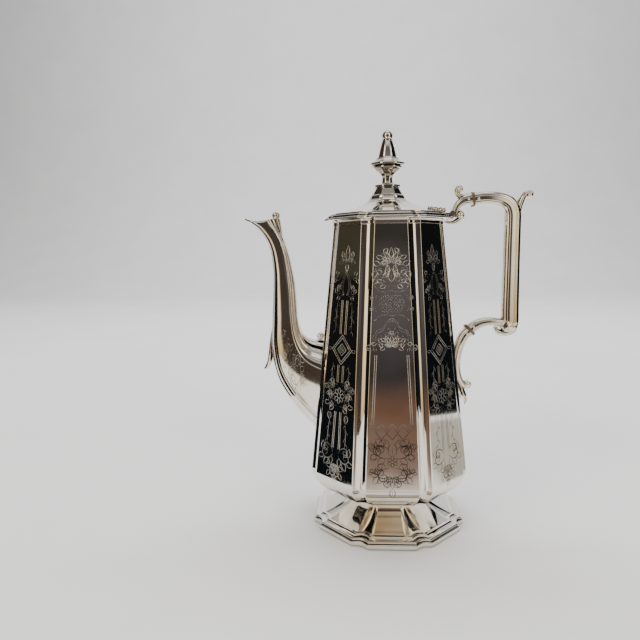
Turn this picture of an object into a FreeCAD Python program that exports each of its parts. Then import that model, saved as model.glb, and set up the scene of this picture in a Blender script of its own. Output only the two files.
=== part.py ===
"""Tall octagonal silver coffee pot with a hinged lid, a swan-neck spout and an insulated scroll handle.

Millimetres, +Z up. The origin is the centre of the foot's rest face, the spout points to -X and the
handle to +X. Every driving dimension is a cell of the sheet, and each sub-part is bound to those cells.
"""
import FreeCAD, Part
import math
import os

import Sketcher

document = FreeCAD.newDocument("coffee_pot")
sheet = document.addObject("Spreadsheet::Sheet", "sizes")

# Driving dimensions, millimetres and degrees
DIMENSIONS = {
    # Body
    "body_top": 222.0,
    "body_top_apothem": 38.8,
    "body_widest": 44.0,
    "body_widest_apothem": 56.8,
    "body_bottom": 24.5,
    "body_bottom_apothem": 42.0,
    "body_wall": 1.2,
    "flute_chord": 9.3,
    "flute_depth": 1.4,
    "strainer_hole": 3.2,
    "strainer_pitch": 7.0,
    "strainer_centre": 98.0,
    # Foot
    "foot_top": 22.5,
    "foot_top_apothem": 27.0,
    "foot_low_apothem": 47.6,
    "foot_wall": 1.3,
    "foot_chord": 0.23,
    "foot_flute": 0.045,
    "neck_ring_apothem": 31.0,
    "border_apothem": 55.6,
    "border_step": 3.4,
    "border_step_in": 1.8,
    "border_height": 6.6,
    "border_lip": 3.0,
    "border_chord": 11.0,
    "border_flute": 2.2,
    "border_shelf": 1.5,
    # Rim of the body
    "rim_flange_apothem": 45.6,
    "rim_flange": 2.0,
    "rim_height": 5.4,
    "rim_cove": 2.0,
    "rim_flute": 2.0,
    # Lid
    "lid_gap": 0.25,
    "lid_border_apothem": 43.0,
    "lid_border_height": 1.75,
    "lid_edge_apothem": 40.2,
    "lid_wall": 1.1,
    "lid_rise": 12.5,
    "lid_top_apothem": 12.4,
    "lid_chord": 0.2,
    "bezel_gap": 1.0,
    "bezel_wall": 1.2,
    "bezel_depth": 6.0,
    "cap_height": 8.4,
    "cap_base_apothem": 11.4,
    "cap_neck_apothem": 9.1,
    # Finial
    "finial_lower_height": 14.8,
    "finial_upper_height": 23.8,
    "stem_apothem": 3.2,
    "stem_height": 6.0,
    "cup_apothem": 6.7,
    "flange_apothem": 12.4,
    "spire_base_apothem": 5.7,
    "spire_top_apothem": 2.6,
    "ball_radius": 3.3,
    "stud_diameter": 3.0,
    "washer_diameter": 10.0,
    "washer_height": 1.0,
    "nut_across": 7.0,
    "nut_height": 3.0,
    "fit_gap": 0.04,
    # Hinge
    "hinge_out": 2.2,
    "hinge_up": 2.2,
    "knuckle_radius": 1.8,
    "knuckle_length": 7.2,
    "lid_knuckle_length": 8.0,
    "knuckle_gap": 0.3,
    "leaf_height": 1.2,
    "hinge_pin_diameter": 1.6,
    # Spout
    "spout_wall": 1.2,
    "spout_root_width": 34.0,
    "spout_mouth_width": 17.0,
    "spout_tip_x": 105.5,
    "spout_tip_z": 228.4,
    "spout_scroll_radius": 2.3,
    "spout_scroll_length": 9.0,
    "spout_leaf_depth": 9.0,
    # Handle
    "handle_depth": 10.4,
    "handle_chamfer": 2.8,
    "joint_x": 61.6,
    "joint_z": 240.0,
    "arm_height": 9.2,
    "grip_x": 90.4,
    "grip_width": 11.7,
    "grip_low_width": 12.8,
    "grip_bottom": 147.0,
    "grip_inner_radius": 10.0,
    "grip_outer_radius": 9.0,
    "volute_radius": 5.2,
    "arm_over_radius": 14.0,
    "arm_under_radius": 7.0,
    "low_arm_over_radius": 36.0,
    "low_arm_under_radius": 24.0,
    "bracket_inner_radius": 31.0,
    "bracket_outer_radius": 43.0,
    "socket_ball": 2.5,
    "thumb_ball": 2.2,
    "spur_ball": 2.3,
    "bracket_ball": 2.6,
    "insulator_disc": 2.0,
    "insulator_diameter": 10.6,
    "tenon_diameter": 4.4,
    "tenon_length": 5.0,
    "cross_pin_diameter": 1.4,
    "low_joint_out": 14.6,
    "low_joint_z": 144.5,
    "low_joint_tilt": 45.0,
    "low_socket_drop": 47.0,
    "low_arm_height": 7.4,
    "scroll_chamfer": 1.6,
    "scroll_depth": 8.0,
}

# The octagon's half angle, and the eight ways its panels face
HALF = math.pi / 8
PANELS = [math.radians(45 * count) for count in range(8)]

# Straight-sided steps that make up the bowl, a flare and the ball of the finial
BOWL_STEPS = 8
FLARE_STEPS = 8
BALL_STEPS = 8


class Size:
    """A number together with the sheet formula that gives it."""

    def __init__(self, value, formula):
        self.value = value
        self.formula = formula

    def __add__(self, other):
        other = sized(other)
        return Size(self.value + other.value, f"({self.formula} + {other.formula})")

    def __sub__(self, other):
        other = sized(other)
        return Size(self.value - other.value, f"({self.formula} - {other.formula})")

    def __rsub__(self, other):
        return sized(other) - self

    def __mul__(self, other):
        other = sized(other)
        return Size(self.value * other.value, f"({self.formula} * {other.formula})")

    def __truediv__(self, other):
        other = sized(other)
        return Size(self.value / other.value, f"({self.formula} / {other.formula})")

    def __neg__(self):
        return Size(-self.value, f"(0 - {self.formula})")

    __radd__ = __add__
    __rmul__ = __mul__


def sized(number):
    """A plain number as a size."""
    return number if isinstance(number, Size) else Size(number, f"{number:.9f}")


def cosine(degrees):
    return Size(math.cos(math.radians(degrees.value)), f"cos({degrees.formula})")


def sine(degrees):
    return Size(math.sin(math.radians(degrees.value)), f"sin({degrees.formula})")


class Sizes:
    """The sheet's cells as sizes, by name."""

    def __init__(self, dimensions):
        for row, (name, value) in enumerate(dimensions.items(), start=1):
            sheet.set(f"A{row}", name)
            sheet.set(f"B{row}", str(value))
            sheet.setAlias(f"B{row}", name)
            setattr(self, name, Size(value, f"sizes.{name}"))


size = Sizes(DIMENSIONS)
pieces = []


def keep(piece, label):
    """Name a finished sub-part, so that it is checked and written."""
    piece.Label = label
    pieces.append(piece)
    return piece


def new_body(name):
    return document.addObject("PartDesign::Body", name)


def new_sketch(body, name, plane, height=None):
    """An empty sketch on one of the body's own planes, raised by a height."""
    sketch = body.newObject("Sketcher::SketchObject", name)
    support = next(feature for feature in body.Origin.OriginFeatures if feature.Role == plane)
    sketch.AttachmentSupport = [(support, "")]
    sketch.MapMode = "FlatFace"
    if height is not None:
        sketch.setExpression("AttachmentOffset.Base.z", sized(height).formula)
    return sketch


def arc_between(start, end, radius):
    """The minor arc from start to end; a positive radius turns left, a negative one right."""
    chord = end - start
    left = FreeCAD.Vector(-chord.y, chord.x, 0).normalize()
    reach = math.sqrt(max(radius * radius - chord.Length ** 2 / 4, 0))
    centre = (start + end) / 2 + left * math.copysign(reach, radius)
    first, last = (start, end) if radius > 0 else (end, start)
    angles = [math.atan2(point.y - centre.y, point.x - centre.x) for point in (first, last)]
    if angles[1] < angles[0]:
        angles[1] += 2 * math.pi
    circle = Part.Circle(centre, FreeCAD.Vector(0, 0, 1), abs(radius))
    return Part.ArcOfCircle(circle, angles[0], angles[1])


def draw(sketch, corners):
    """A closed outline. A corner is (x, y), or (x, y, radius) where an arc leaves it for the next one."""
    corners = [tuple(sized(number) for number in corner) for corner in corners]
    points = [FreeCAD.Vector(corner[0].value, corner[1].value, 0) for corner in corners]
    edges = []
    ends = []
    for count, corner in enumerate(corners):
        start = points[count]
        end = points[(count + 1) % len(points)]
        if len(corner) == 2:
            edges.append(Part.LineSegment(start, end))
            ends.append((1, 2))
        else:
            edges.append(arc_between(start, end, corner[2].value))
            ends.append((1, 2) if corner[2].value > 0 else (2, 1))
    sketch.addGeometry(edges, False)
    constraints = []
    formulas = []
    for count, corner in enumerate(corners):
        before = count - 1 if count else len(corners) - 1
        constraints.append(Sketcher.Constraint("Coincident", before, ends[before][1], count, ends[count][0]))
        for kind, number in (("DistanceX", corner[0]), ("DistanceY", corner[1])):
            formulas.append((len(constraints), number.formula))
            constraints.append(Sketcher.Constraint(kind, -1, 1, count, ends[count][0], number.value))
        if len(corner) == 3:
            radius = corner[2] if corner[2].value > 0 else -corner[2]
            formulas.append((len(constraints), radius.formula))
            constraints.append(Sketcher.Constraint("Radius", count, radius.value))
    sketch.addConstraint(constraints)
    for number, formula in formulas:
        sketch.setExpression(f"Constraints[{number}]", formula)
    return sketch


def draw_circle(sketch, x, y, radius):
    """One full circle."""
    x, y, radius = sized(x), sized(y), sized(radius)
    place = FreeCAD.Vector(x.value, y.value, 0)
    circle = sketch.addGeometry(Part.Circle(place, FreeCAD.Vector(0, 0, 1), radius.value), False)
    bound = (
        (Sketcher.Constraint("DistanceX", -1, 1, circle, 3, x.value), x),
        (Sketcher.Constraint("DistanceY", -1, 1, circle, 3, y.value), y),
        (Sketcher.Constraint("Radius", circle, radius.value), radius),
    )
    for constraint, number in bound:
        sketch.setExpression(f"Constraints[{sketch.addConstraint(constraint)}]", number.formula)
    return sketch


def fluted_octagon(apothem, chord, depth):
    """Eight flats joined by eight concave flutes."""
    half_flat = apothem * math.tan(HALF) - chord / (2 * math.cos(HALF))
    radius = (chord * chord / 4 + depth * depth) / (2 * depth)
    corners = []
    for angle in PANELS:
        along = round(math.cos(angle), 9)
        across = round(math.sin(angle), 9)
        corners.append((apothem * along + half_flat * across, apothem * across - half_flat * along))
        corners.append((apothem * along - half_flat * across, apothem * across + half_flat * along, -radius))
    return corners


def flute_bottom(apothem, chord, depth):
    """Distance from the axis to the deepest line of a flute."""
    return apothem / math.cos(HALF) - chord * math.tan(HALF) / 2 - depth


def cornered_octagon(apothem, corner):
    """Eight flats joined by eight narrow flat corners that lie at their own distance from the axis."""
    half_flat = (corner - apothem * math.cos(HALF)) / math.sin(HALF)
    corners = []
    for angle in PANELS:
        along = round(math.cos(angle), 9)
        across = round(math.sin(angle), 9)
        for side in (-1, 1):
            half = half_flat * side
            corners.append((apothem * along - half * across, apothem * across + half * along))
    return corners


def octagon(apothem):
    """A plain octagon."""
    half_flat = apothem * math.tan(HALF)
    corners = []
    for angle in PANELS:
        along = round(math.cos(angle), 9)
        across = round(math.sin(angle), 9)
        corners.append((apothem * along - half_flat * across, apothem * across + half_flat * along))
    return corners


def pad(body, sketch, length, symmetric=False, kind="Pad"):
    feature = body.newObject("PartDesign::" + kind, sketch.Name + "_pad")
    feature.Profile = sketch
    feature.setExpression("Length", sized(length).formula)
    if symmetric:
        feature.SideType = "Symmetric"
    return feature


def loft(body, name, levels, kind="AdditiveLoft", ruled=False):
    """A loft through level outlines, given as (height, corners)."""
    sketches = []
    for count, (height, corners) in enumerate(levels):
        sketches.append(draw(new_sketch(body, f"{name}_{count}", "XY_Plane", height), corners))
    return join_sections(body, name, sketches, kind, ruled)


def join_sections(body, name, sketches, kind, ruled):
    feature = body.newObject("PartDesign::" + kind, name)
    feature.Profile = sketches[0]
    feature.Sections = sketches[1:]
    feature.Ruled = ruled
    return feature


def cut(name, base, *tools):
    """A boolean cut by one tool after another."""
    for count, tool in enumerate(tools):
        result = document.addObject("Part::Cut", f"{name}_cut_{count}")
        result.Base = base
        result.Tool = tool
        base = result
    return base


def fuse(name, base, tool):
    result = document.addObject("Part::Fuse", name)
    result.Base = base
    result.Tool = tool
    return result


def cylinder(name, radius, length, centre, tilt=None, axis="X"):
    """A cylinder about a centre, along Y or Z, or in the XZ plane at a tilt above X."""
    solid = document.addObject("Part::Cylinder", name)
    solid.setExpression("Radius", sized(radius).formula)
    solid.setExpression("Height", sized(length).formula)
    if axis == "Z":
        run = (sized(0), sized(0), sized(1))
    elif axis == "Y":
        run = (sized(0), sized(1), sized(0))
        solid.Placement.Rotation = FreeCAD.Rotation(FreeCAD.Vector(1, 0, 0), -90)
    else:
        run = (cosine(tilt), sized(0), sine(tilt))
        solid.Placement.Rotation = FreeCAD.Rotation(FreeCAD.Vector(0, 1, 0), 90 - tilt.value)
        solid.setExpression("Placement.Rotation.Angle", (90 - tilt).formula)
    for letter, middle, way in zip("xyz", centre, run):
        solid.setExpression(f"Placement.Base.{letter}", (sized(middle) - way * length / 2).formula)
    return solid


def chamfer_sides(body, feature, chamfer):
    """Bevel every edge of the two faces that look along Y."""
    document.recompute()
    faces = []
    for count, face in enumerate(feature.Shape.Faces, start=1):
        if face.Surface.TypeId == "Part::GeomPlane" and abs(face.normalAt(0, 0).y) > 0.99:
            faces.append(f"Face{count}")
    bevel = body.newObject("PartDesign::Chamfer", feature.Name + "_bevel")
    bevel.Base = (feature, faces)
    bevel.setExpression("Size", chamfer.formula)
    return bevel


def side_profile(name, corners, depth, chamfer):
    """A bar with a side outline in the XZ plane and bevelled edges."""
    body = new_body(name)
    sketch = draw(new_sketch(body, name + "_outline", "XZ_Plane"), corners)
    chamfer_sides(body, pad(body, sketch, depth, symmetric=True), chamfer)
    return body


def add_drum(body, name, x, z, radius, depth):
    """A short roll across a side profile, which ends one of its scrolls."""
    sketch = draw_circle(new_sketch(body, name, "XZ_Plane"), x, z, radius)
    return pad(body, sketch, depth, symmetric=True)


# Levels that several pieces share
rim_top = size.body_top + size.rim_height
lid_bottom = rim_top + size.lid_gap
lid_border_top = lid_bottom + size.lid_border_height
lid_tent = lid_border_top + size.lid_wall
lid_top = lid_tent + size.lid_rise
cap_top = lid_top + size.cap_height
hinge_x = size.lid_border_apothem + size.hinge_out
hinge_z = rim_top + size.hinge_up
flange_level = cap_top + size.finial_lower_height
total_height = flange_level + size.finial_upper_height
taper = (size.body_widest_apothem - size.body_top_apothem) / (size.body_top - size.body_widest)


def body_section(apothem):
    return fluted_octagon(apothem, size.flute_chord, size.flute_depth)


def inside_section(apothem, wall):
    """The inner outline of a fluted sheet, its corners flat behind the flutes."""
    corner = flute_bottom(apothem, size.flute_chord, size.flute_depth)
    return cornered_octagon(apothem - wall, corner - wall)


def body_apothem(height):
    """Apothem of the straight, tapered stretch of the body at a height."""
    return size.body_top_apothem + (size.body_top - height) * taper


def sheet_section(apothem, wall):
    """The outer outline where there is no wall, and otherwise the inner one."""
    return inside_section(apothem, wall) if wall.value else body_section(apothem)


def bowl_levels(wall):
    """Outlines of the rounded bottom, a quarter ellipse, drawn in by the wall."""
    levels = []
    for step in range(BOWL_STEPS + 1):
        turn = math.pi / 2 * step / BOWL_STEPS
        reach = size.body_bottom_apothem + (size.body_widest_apothem - size.body_bottom_apothem) * math.cos(turn)
        height = size.body_widest - (size.body_widest - size.body_bottom - wall) * math.sin(turn)
        levels.append((height, sheet_section(reach, wall)))
    return levels


def body_solid(name, wall, extra):
    """The body as one solid, drawn in by a wall and raised past the top by an extra height."""
    body = new_body(name)
    top = size.body_top + extra
    low = (size.body_widest, sheet_section(size.body_widest_apothem, wall))
    loft(body, name + "_sides", [low, (top, sheet_section(body_apothem(top), wall))], ruled=True)
    loft(body, name + "_bowl", bowl_levels(wall), ruled=True)
    return body


def make_body():
    outer = body_solid("body_outer", sized(0), sized(0))
    inner = body_solid("body_inner", size.body_wall, size.body_wall)
    strainer = new_body("strainer")
    sketch = new_sketch(strainer, "strainer_holes", "YZ_Plane", -body_apothem(size.strainer_centre) * 1.2)
    for row in range(-1, 2):
        for column in range(-1, 2):
            draw_circle(sketch, size.strainer_pitch * column, size.strainer_centre + size.strainer_pitch * row,
                        size.strainer_hole / 2)
    pad(strainer, sketch, size.body_widest_apothem * 0.5)
    keep(cut("body_shell", outer, inner, strainer), "body_shell")
    return outer


def flare_levels(low, high, low_apothem, high_apothem, section, steps=FLARE_STEPS):
    """Outlines of a concave flare between two heights."""
    levels = []
    for step in range(steps + 1):
        share = step / steps
        apothem = high_apothem + (low_apothem - high_apothem) * (1 - share) ** 2
        levels.append((low + (high - low) * share, section(apothem)))
    return levels


def make_foot():
    ring = new_body("neck_ring_body")
    ring_apothem = size.neck_ring_apothem
    sketch = draw(new_sketch(ring, "neck_ring_outline", "XY_Plane", size.foot_top),
                  fluted_octagon(ring_apothem, ring_apothem * size.foot_chord, ring_apothem * size.foot_flute))
    pad(ring, sketch, size.body_bottom - size.foot_top)
    keep(ring, "neck_ring")

    def foot_section(apothem):
        return fluted_octagon(apothem, apothem * size.foot_chord, apothem * size.foot_flute)

    def hollow_section(apothem):
        corner = flute_bottom(apothem, apothem * size.foot_chord, apothem * size.foot_flute)
        return cornered_octagon(apothem - size.foot_wall, corner - size.foot_wall)

    foot = new_body("foot_body")
    loft(foot, "foot_flare", flare_levels(size.border_height, size.foot_top, size.foot_low_apothem,
                                          size.foot_top_apothem, foot_section), ruled=True)
    loft(foot, "foot_hollow", flare_levels(size.border_height, size.foot_top - size.foot_wall,
                                           size.foot_low_apothem, size.foot_top_apothem, hollow_section),
         kind="SubtractiveLoft", ruled=True)
    keep(foot, "foot")

    def border_section(apothem):
        return fluted_octagon(apothem, size.border_chord, size.border_flute)

    border = new_body("foot_border_body")
    step_apothem = size.border_apothem - size.border_step_in
    loft(border, "border_base", [(sized(0), border_section(size.border_apothem)),
                                 (size.border_step, border_section(step_apothem))], ruled=True)
    loft(border, "border_cove", flare_levels(size.border_step, size.border_height,
                                             step_apothem - size.border_shelf,
                                             size.foot_low_apothem + size.border_shelf / 3, border_section, 2),
         ruled=True)
    hole = draw(new_sketch(border, "border_hole", "XY_Plane"),
                inside_section(size.foot_low_apothem, size.border_lip))
    pocket = pad(border, hole, size.border_height * 2, symmetric=True, kind="Pocket")
    pocket.Refine = True
    keep(border, "foot_border")


def rim_section(apothem):
    return fluted_octagon(apothem, size.flute_chord, size.rim_flute)


def make_rim():
    rim = new_body("rim_blank")
    cove_top = rim_top - size.rim_flange
    low = size.body_top_apothem + size.rim_cove / 2
    loft(rim, "rim_cove", [(size.body_top, body_section(low)),
                           (size.body_top + size.rim_cove, body_section(low + size.rim_cove / 2)),
                           (cove_top, rim_section(size.rim_flange_apothem - size.rim_flange / 4))], ruled=True)
    plate = draw(new_sketch(rim, "rim_plate", "XY_Plane", cove_top), rim_section(size.rim_flange_apothem))
    pad(rim, plate, size.rim_flange)
    hole = new_body("rim_hole")
    outline = draw(new_sketch(hole, "rim_mouth", "XY_Plane", size.body_top),
                   inside_section(size.body_top_apothem, size.body_wall))
    pad(hole, outline, size.rim_height)
    keep(cut("rim_border", rim, hole), "rim_border")
    return rim


def lid_section(apothem):
    return cornered_octagon(apothem, flute_bottom(apothem, apothem * size.lid_chord, 0))


def make_lid():
    bezel_in = size.body_wall + size.bezel_gap

    def mouth_ring(label, bottom, height, outer):
        ring = new_body(label + "_body")
        pad(ring, draw(new_sketch(ring, label + "_outline", "XY_Plane", bottom), outer), height)
        hole = draw(new_sketch(ring, label + "_hole", "XY_Plane", bottom + height / 2),
                    inside_section(size.body_top_apothem, bezel_in + size.bezel_wall))
        pad(ring, hole, height * 2, symmetric=True, kind="Pocket")
        return keep(ring, label)

    mouth_ring("lid_border", lid_bottom, size.lid_border_height, rim_section(size.lid_border_apothem))
    mouth_ring("lid_bezel", lid_bottom - size.bezel_depth, size.bezel_depth,
               inside_section(size.body_top_apothem, bezel_in))

    lid = new_body("lid_blank")
    edge = draw(new_sketch(lid, "lid_edge", "XY_Plane", lid_border_top), lid_section(size.lid_edge_apothem))
    pad(lid, edge, size.lid_wall)
    loft(lid, "lid_tent", flare_levels(lid_tent, lid_top, size.lid_edge_apothem, size.lid_top_apothem,
                                       lid_section), ruled=True)
    loft(lid, "lid_hollow", flare_levels(lid_border_top, lid_top - size.lid_wall,
                                         size.lid_edge_apothem - size.lid_wall,
                                         size.lid_top_apothem - size.lid_wall, lid_section),
         kind="SubtractiveLoft", ruled=True)

    cap = new_body("cap_blank")
    loft(cap, "cap_flare", flare_levels(lid_top, cap_top, size.cap_base_apothem, size.cap_neck_apothem,
                                        octagon, 3), ruled=True)

    stem_top = cap_top + size.stem_height
    lower = new_body("finial_lower_blank")
    loft(lower, "finial_stem", [(cap_top, octagon(size.stem_apothem)), (stem_top, octagon(size.stem_apothem))],
         ruled=True)
    cup_rise = flange_level - stem_top
    loft(lower, "finial_cup", [(stem_top, octagon(size.stem_apothem)),
                               (stem_top + cup_rise * 0.3, octagon(size.cup_apothem)),
                               (flange_level, octagon(size.flange_apothem))], ruled=True)

    ball_centre = total_height - size.ball_radius
    upper = new_body("finial_upper_blank")
    flange_rise = size.cup_apothem * 0.6
    loft(upper, "finial_flange", flare_levels(flange_level, flange_level + flange_rise,
                                              size.flange_apothem, size.spire_base_apothem, octagon, 2),
         ruled=True)
    loft(upper, "finial_spire", [(flange_level + flange_rise, octagon(size.spire_base_apothem)),
                                 (ball_centre - size.ball_radius * math.cos(math.radians(30)),
                                  octagon(size.spire_top_apothem))], ruled=True)
    ball = []
    for step in range(BALL_STEPS + 1):
        turn = math.radians(30 + 140 * step / BALL_STEPS)
        ball.append((ball_centre - size.ball_radius * math.cos(turn), octagon(size.ball_radius * math.sin(turn))))
    ball.append((total_height, octagon(size.ball_radius * math.sin(math.radians(5)))))
    loft(upper, "finial_ball", ball, ruled=True)

    # The screw runs from the nut under the lid into the upper finial
    stud_low = lid_top - size.lid_wall - size.washer_height - size.nut_height
    stud_high = flange_level + flange_rise * 2
    middle = (0, 0, (stud_low + stud_high) / 2)
    keep(cylinder("stud", size.stud_diameter / 2, stud_high - stud_low, middle, axis="Z"), "finial_stud")
    bore = cylinder("stud_bore", size.stud_diameter / 2 + size.fit_gap,
                    stud_high - stud_low + size.fit_gap * 2, middle, axis="Z")
    for blank, label in ((lid, "lid"), (cap, "lid_cap"), (lower, "finial_lower"), (upper, "finial_upper")):
        keep(cut(label, blank, bore), label)
    washer_middle = (0, 0, lid_top - size.lid_wall - size.washer_height / 2)
    washer = cylinder("washer_blank", size.washer_diameter / 2, size.washer_height, washer_middle, axis="Z")
    keep(cut("finial_washer", washer, bore), "finial_washer")
    nut = new_body("nut_blank")
    outline = new_sketch(nut, "nut_outline", "XY_Plane", stud_low)
    hexagon = []
    for count in range(6):
        turn = math.radians(60 * count)
        hexagon.append((size.nut_across / math.sqrt(3) * math.cos(turn),
                        size.nut_across / math.sqrt(3) * math.sin(turn)))
    pad(nut, draw(outline, hexagon), size.nut_height)
    keep(cut("finial_nut", nut, bore), "finial_nut")


def make_hinge():
    bore_radius = size.hinge_pin_diameter / 2 + size.fit_gap
    first = size.lid_knuckle_length / 2 + size.knuckle_gap
    span = (first + size.knuckle_length) * 2
    pin = cylinder("pin", size.hinge_pin_diameter / 2, span, (hinge_x, 0, hinge_z), axis="Y")
    keep(pin, "hinge_pin")
    bore = cylinder("hinge_bore", bore_radius, span, (hinge_x, 0, hinge_z), axis="Y")

    def knuckle(name, foot, length):
        body = new_body(name)
        draw(new_sketch(body, name + "_foot", "XZ_Plane"), foot)
        pad(body, body.Group[-1], length, symmetric=True)
        add_drum(body, name + "_barrel", hinge_x, hinge_z, size.knuckle_radius, length)
        return body

    inside = hinge_x - size.knuckle_radius
    rim_foot = [(inside, rim_top), (size.rim_flange_apothem, rim_top), (size.rim_flange_apothem, hinge_z),
                (inside, hinge_z)]
    outer = knuckle("rim_knuckles", rim_foot, span)
    gap = document.addObject("Part::Box", "knuckle_room")
    for letter, low, high in (("x", inside - 1, hinge_x + size.knuckle_radius * 2), ("y", -first, first),
                              ("z", rim_top, hinge_z + size.knuckle_radius * 2)):
        gap.setExpression(f"Placement.Base.{letter}", low.formula)
        gap.setExpression({"x": "Length", "y": "Width", "z": "Height"}[letter], (high - low).formula)
    keep(cut("body_hinge_knuckles", outer, gap, bore), "body_hinge_knuckles")

    leaf_start = size.lid_edge_apothem + size.knuckle_gap
    leaf = [(leaf_start, lid_border_top), (hinge_x, lid_border_top), (hinge_x, lid_border_top + size.leaf_height),
            (leaf_start, lid_border_top + size.leaf_height)]
    inner = knuckle("lid_knuckle", leaf, size.lid_knuckle_length)
    keep(cut("lid_hinge_knuckle", inner, bore), "lid_hinge_knuckle")


def spout_section(body, name, outer, inner, width, wall):
    """An eight-sided outline across the spout, from its outer line to its inner line."""
    middle = ((outer[0] + inner[0]) / 2, (outer[1] + inner[1]) / 2)
    run_x = inner[0].value - outer[0].value
    run_z = inner[1].value - outer[1].value
    length = math.hypot(run_x, run_z)
    half = sized(length / 2) - wall
    side = width / 2 - wall
    corner = half * 0.42
    face = side * 0.42
    sketch = new_sketch(body, name, "XY_Plane")
    sketch.setExpression("AttachmentOffset.Base.x", middle[0].formula)
    sketch.setExpression("AttachmentOffset.Base.z", middle[1].formula)
    turn = FreeCAD.Rotation(FreeCAD.Vector(0, 1, 0), -math.degrees(math.atan2(run_z, run_x)))
    sketch.AttachmentOffset = FreeCAD.Placement(FreeCAD.Vector(middle[0].value, 0, middle[1].value), turn)
    return draw(sketch, [(-half, -face), (-half + corner, -side), (half - corner, -side), (half, -face),
                         (half, face), (half - corner, side), (-half + corner, side), (-half, face)])


# Stations of the spout from its root to its mouth: outer line, inner line, share of the width's taper
SPOUT_STATIONS = (
    ((-46.0, 62.0), (-46.0, 131.0), 0.0),
    ((-63.0, 79.5), (-57.0, 134.0), 0.12),
    ((-74.0, 93.5), (-62.8, 139.5), 0.26),
    ((-83.0, 110.0), (-66.2, 150.0), 0.42),
    ((-87.0, 130.0), (-67.4, 164.0), 0.58),
    ((-86.4, 151.0), (-68.4, 178.5), 0.72),
    ((-85.2, 172.0), (-70.2, 190.0), 0.84),
    ((-84.8, 192.0), (-72.8, 202.0), 0.94),
    ((-87.6, 208.5), (-76.2, 212.5), 1.0),
    ((-95.5, 220.8), (-80.0, 221.0), 1.0),
    ((-105.5, 228.4), (-82.6, 228.4), 1.0),
)


def make_spout(body_outer, rim):
    tip_x = size.spout_tip_x
    tip_z = size.spout_tip_z
    last = SPOUT_STATIONS[-1][0]

    def station(point):
        return (tip_x * (point[0] / -last[0]), tip_z * (point[1] / last[1]))

    def spout_loft(body, name, wall, ruled):
        sketches = []
        for count, (outer, inner, share) in enumerate(SPOUT_STATIONS):
            width = size.spout_root_width + (size.spout_mouth_width - size.spout_root_width) * share
            sketches.append(spout_section(body, f"{name}_{count}", station(outer), station(inner), width, wall))
        return join_sections(body, name, sketches, "AdditiveLoft", ruled)

    raw = new_body("spout_blank")
    spout_loft(raw, "spout_skin", sized(0), True)
    bore = new_body("spout_bore")
    spout_loft(bore, "spout_passage", size.spout_wall, True)
    keep(cut("spout", raw, body_outer, bore), "spout")

    scroll_z = tip_z + size.spout_scroll_radius + size.fit_gap
    scroll_x = station(SPOUT_STATIONS[-1][1])[0] - size.spout_wall / 2
    keep(cylinder("spout_roll", size.spout_scroll_radius, size.spout_scroll_length, (scroll_x, 0, scroll_z),
                  axis="Y"), "spout_scroll")

    leaf = [station(point) for point in ((-80.0, 134.0), (-88.2, 132.0), (-92.0, 117.6), (-84.0, 113.0),
                                         (-78.0, 113.0))]
    leaf_body = side_profile("leaf_blank", leaf, size.spout_leaf_depth, size.scroll_chamfer)
    keep(cut("spout_leaf", leaf_body, raw), "spout_leaf")

    collar = [station(point) for point in ((-44.0, 131.0), (-58.5, 131.0), (-58.6, 136.4), (-53.6, 138.8),
                                           (-51.4, 144.5), (-44.0, 144.5))]
    collar_body = side_profile("collar_blank", collar, size.spout_root_width * 0.5, size.scroll_chamfer)
    keep(cut("spout_collar", collar_body, raw, body_outer), "spout_collar")


def make_insulator(label, x, z, tilt):
    """A disc with a tenon each way and two cross pins; returns the tenon's bore and the pins."""
    span = size.insulator_disc + size.tenon_length * 2
    disc = cylinder(label + "_disc", size.insulator_diameter / 2, size.insulator_disc, (x, 0, z), tilt)
    tenon = cylinder(label + "_tenon", size.tenon_diameter / 2, span, (x, 0, z), tilt)
    bore = cylinder(label + "_bore", size.tenon_diameter / 2 + size.fit_gap, span + size.fit_gap * 2,
                    (x, 0, z), tilt)
    reach = (size.insulator_disc + size.tenon_length) / 2
    pins = []
    holes = []
    for sign in (-1, 1):
        place = (x + cosine(tilt) * reach * sign, 0, z + sine(tilt) * reach * sign)
        side = "in" if sign < 0 else "out"
        pins.append(cylinder(f"{label}_pin_{side}", size.cross_pin_diameter / 2, size.handle_depth, place,
                             axis="Y"))
        holes.append(cylinder(f"{label}_pin_hole_{side}", size.cross_pin_diameter / 2 + size.fit_gap,
                              size.handle_depth * 2, place, axis="Y"))
    keep(cut(label, fuse(label + "_blank", disc, tenon), *holes), label)
    keep(fuse(label + "_pin_pair", *pins), label + "_pins")
    return [bore] + holes


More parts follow.
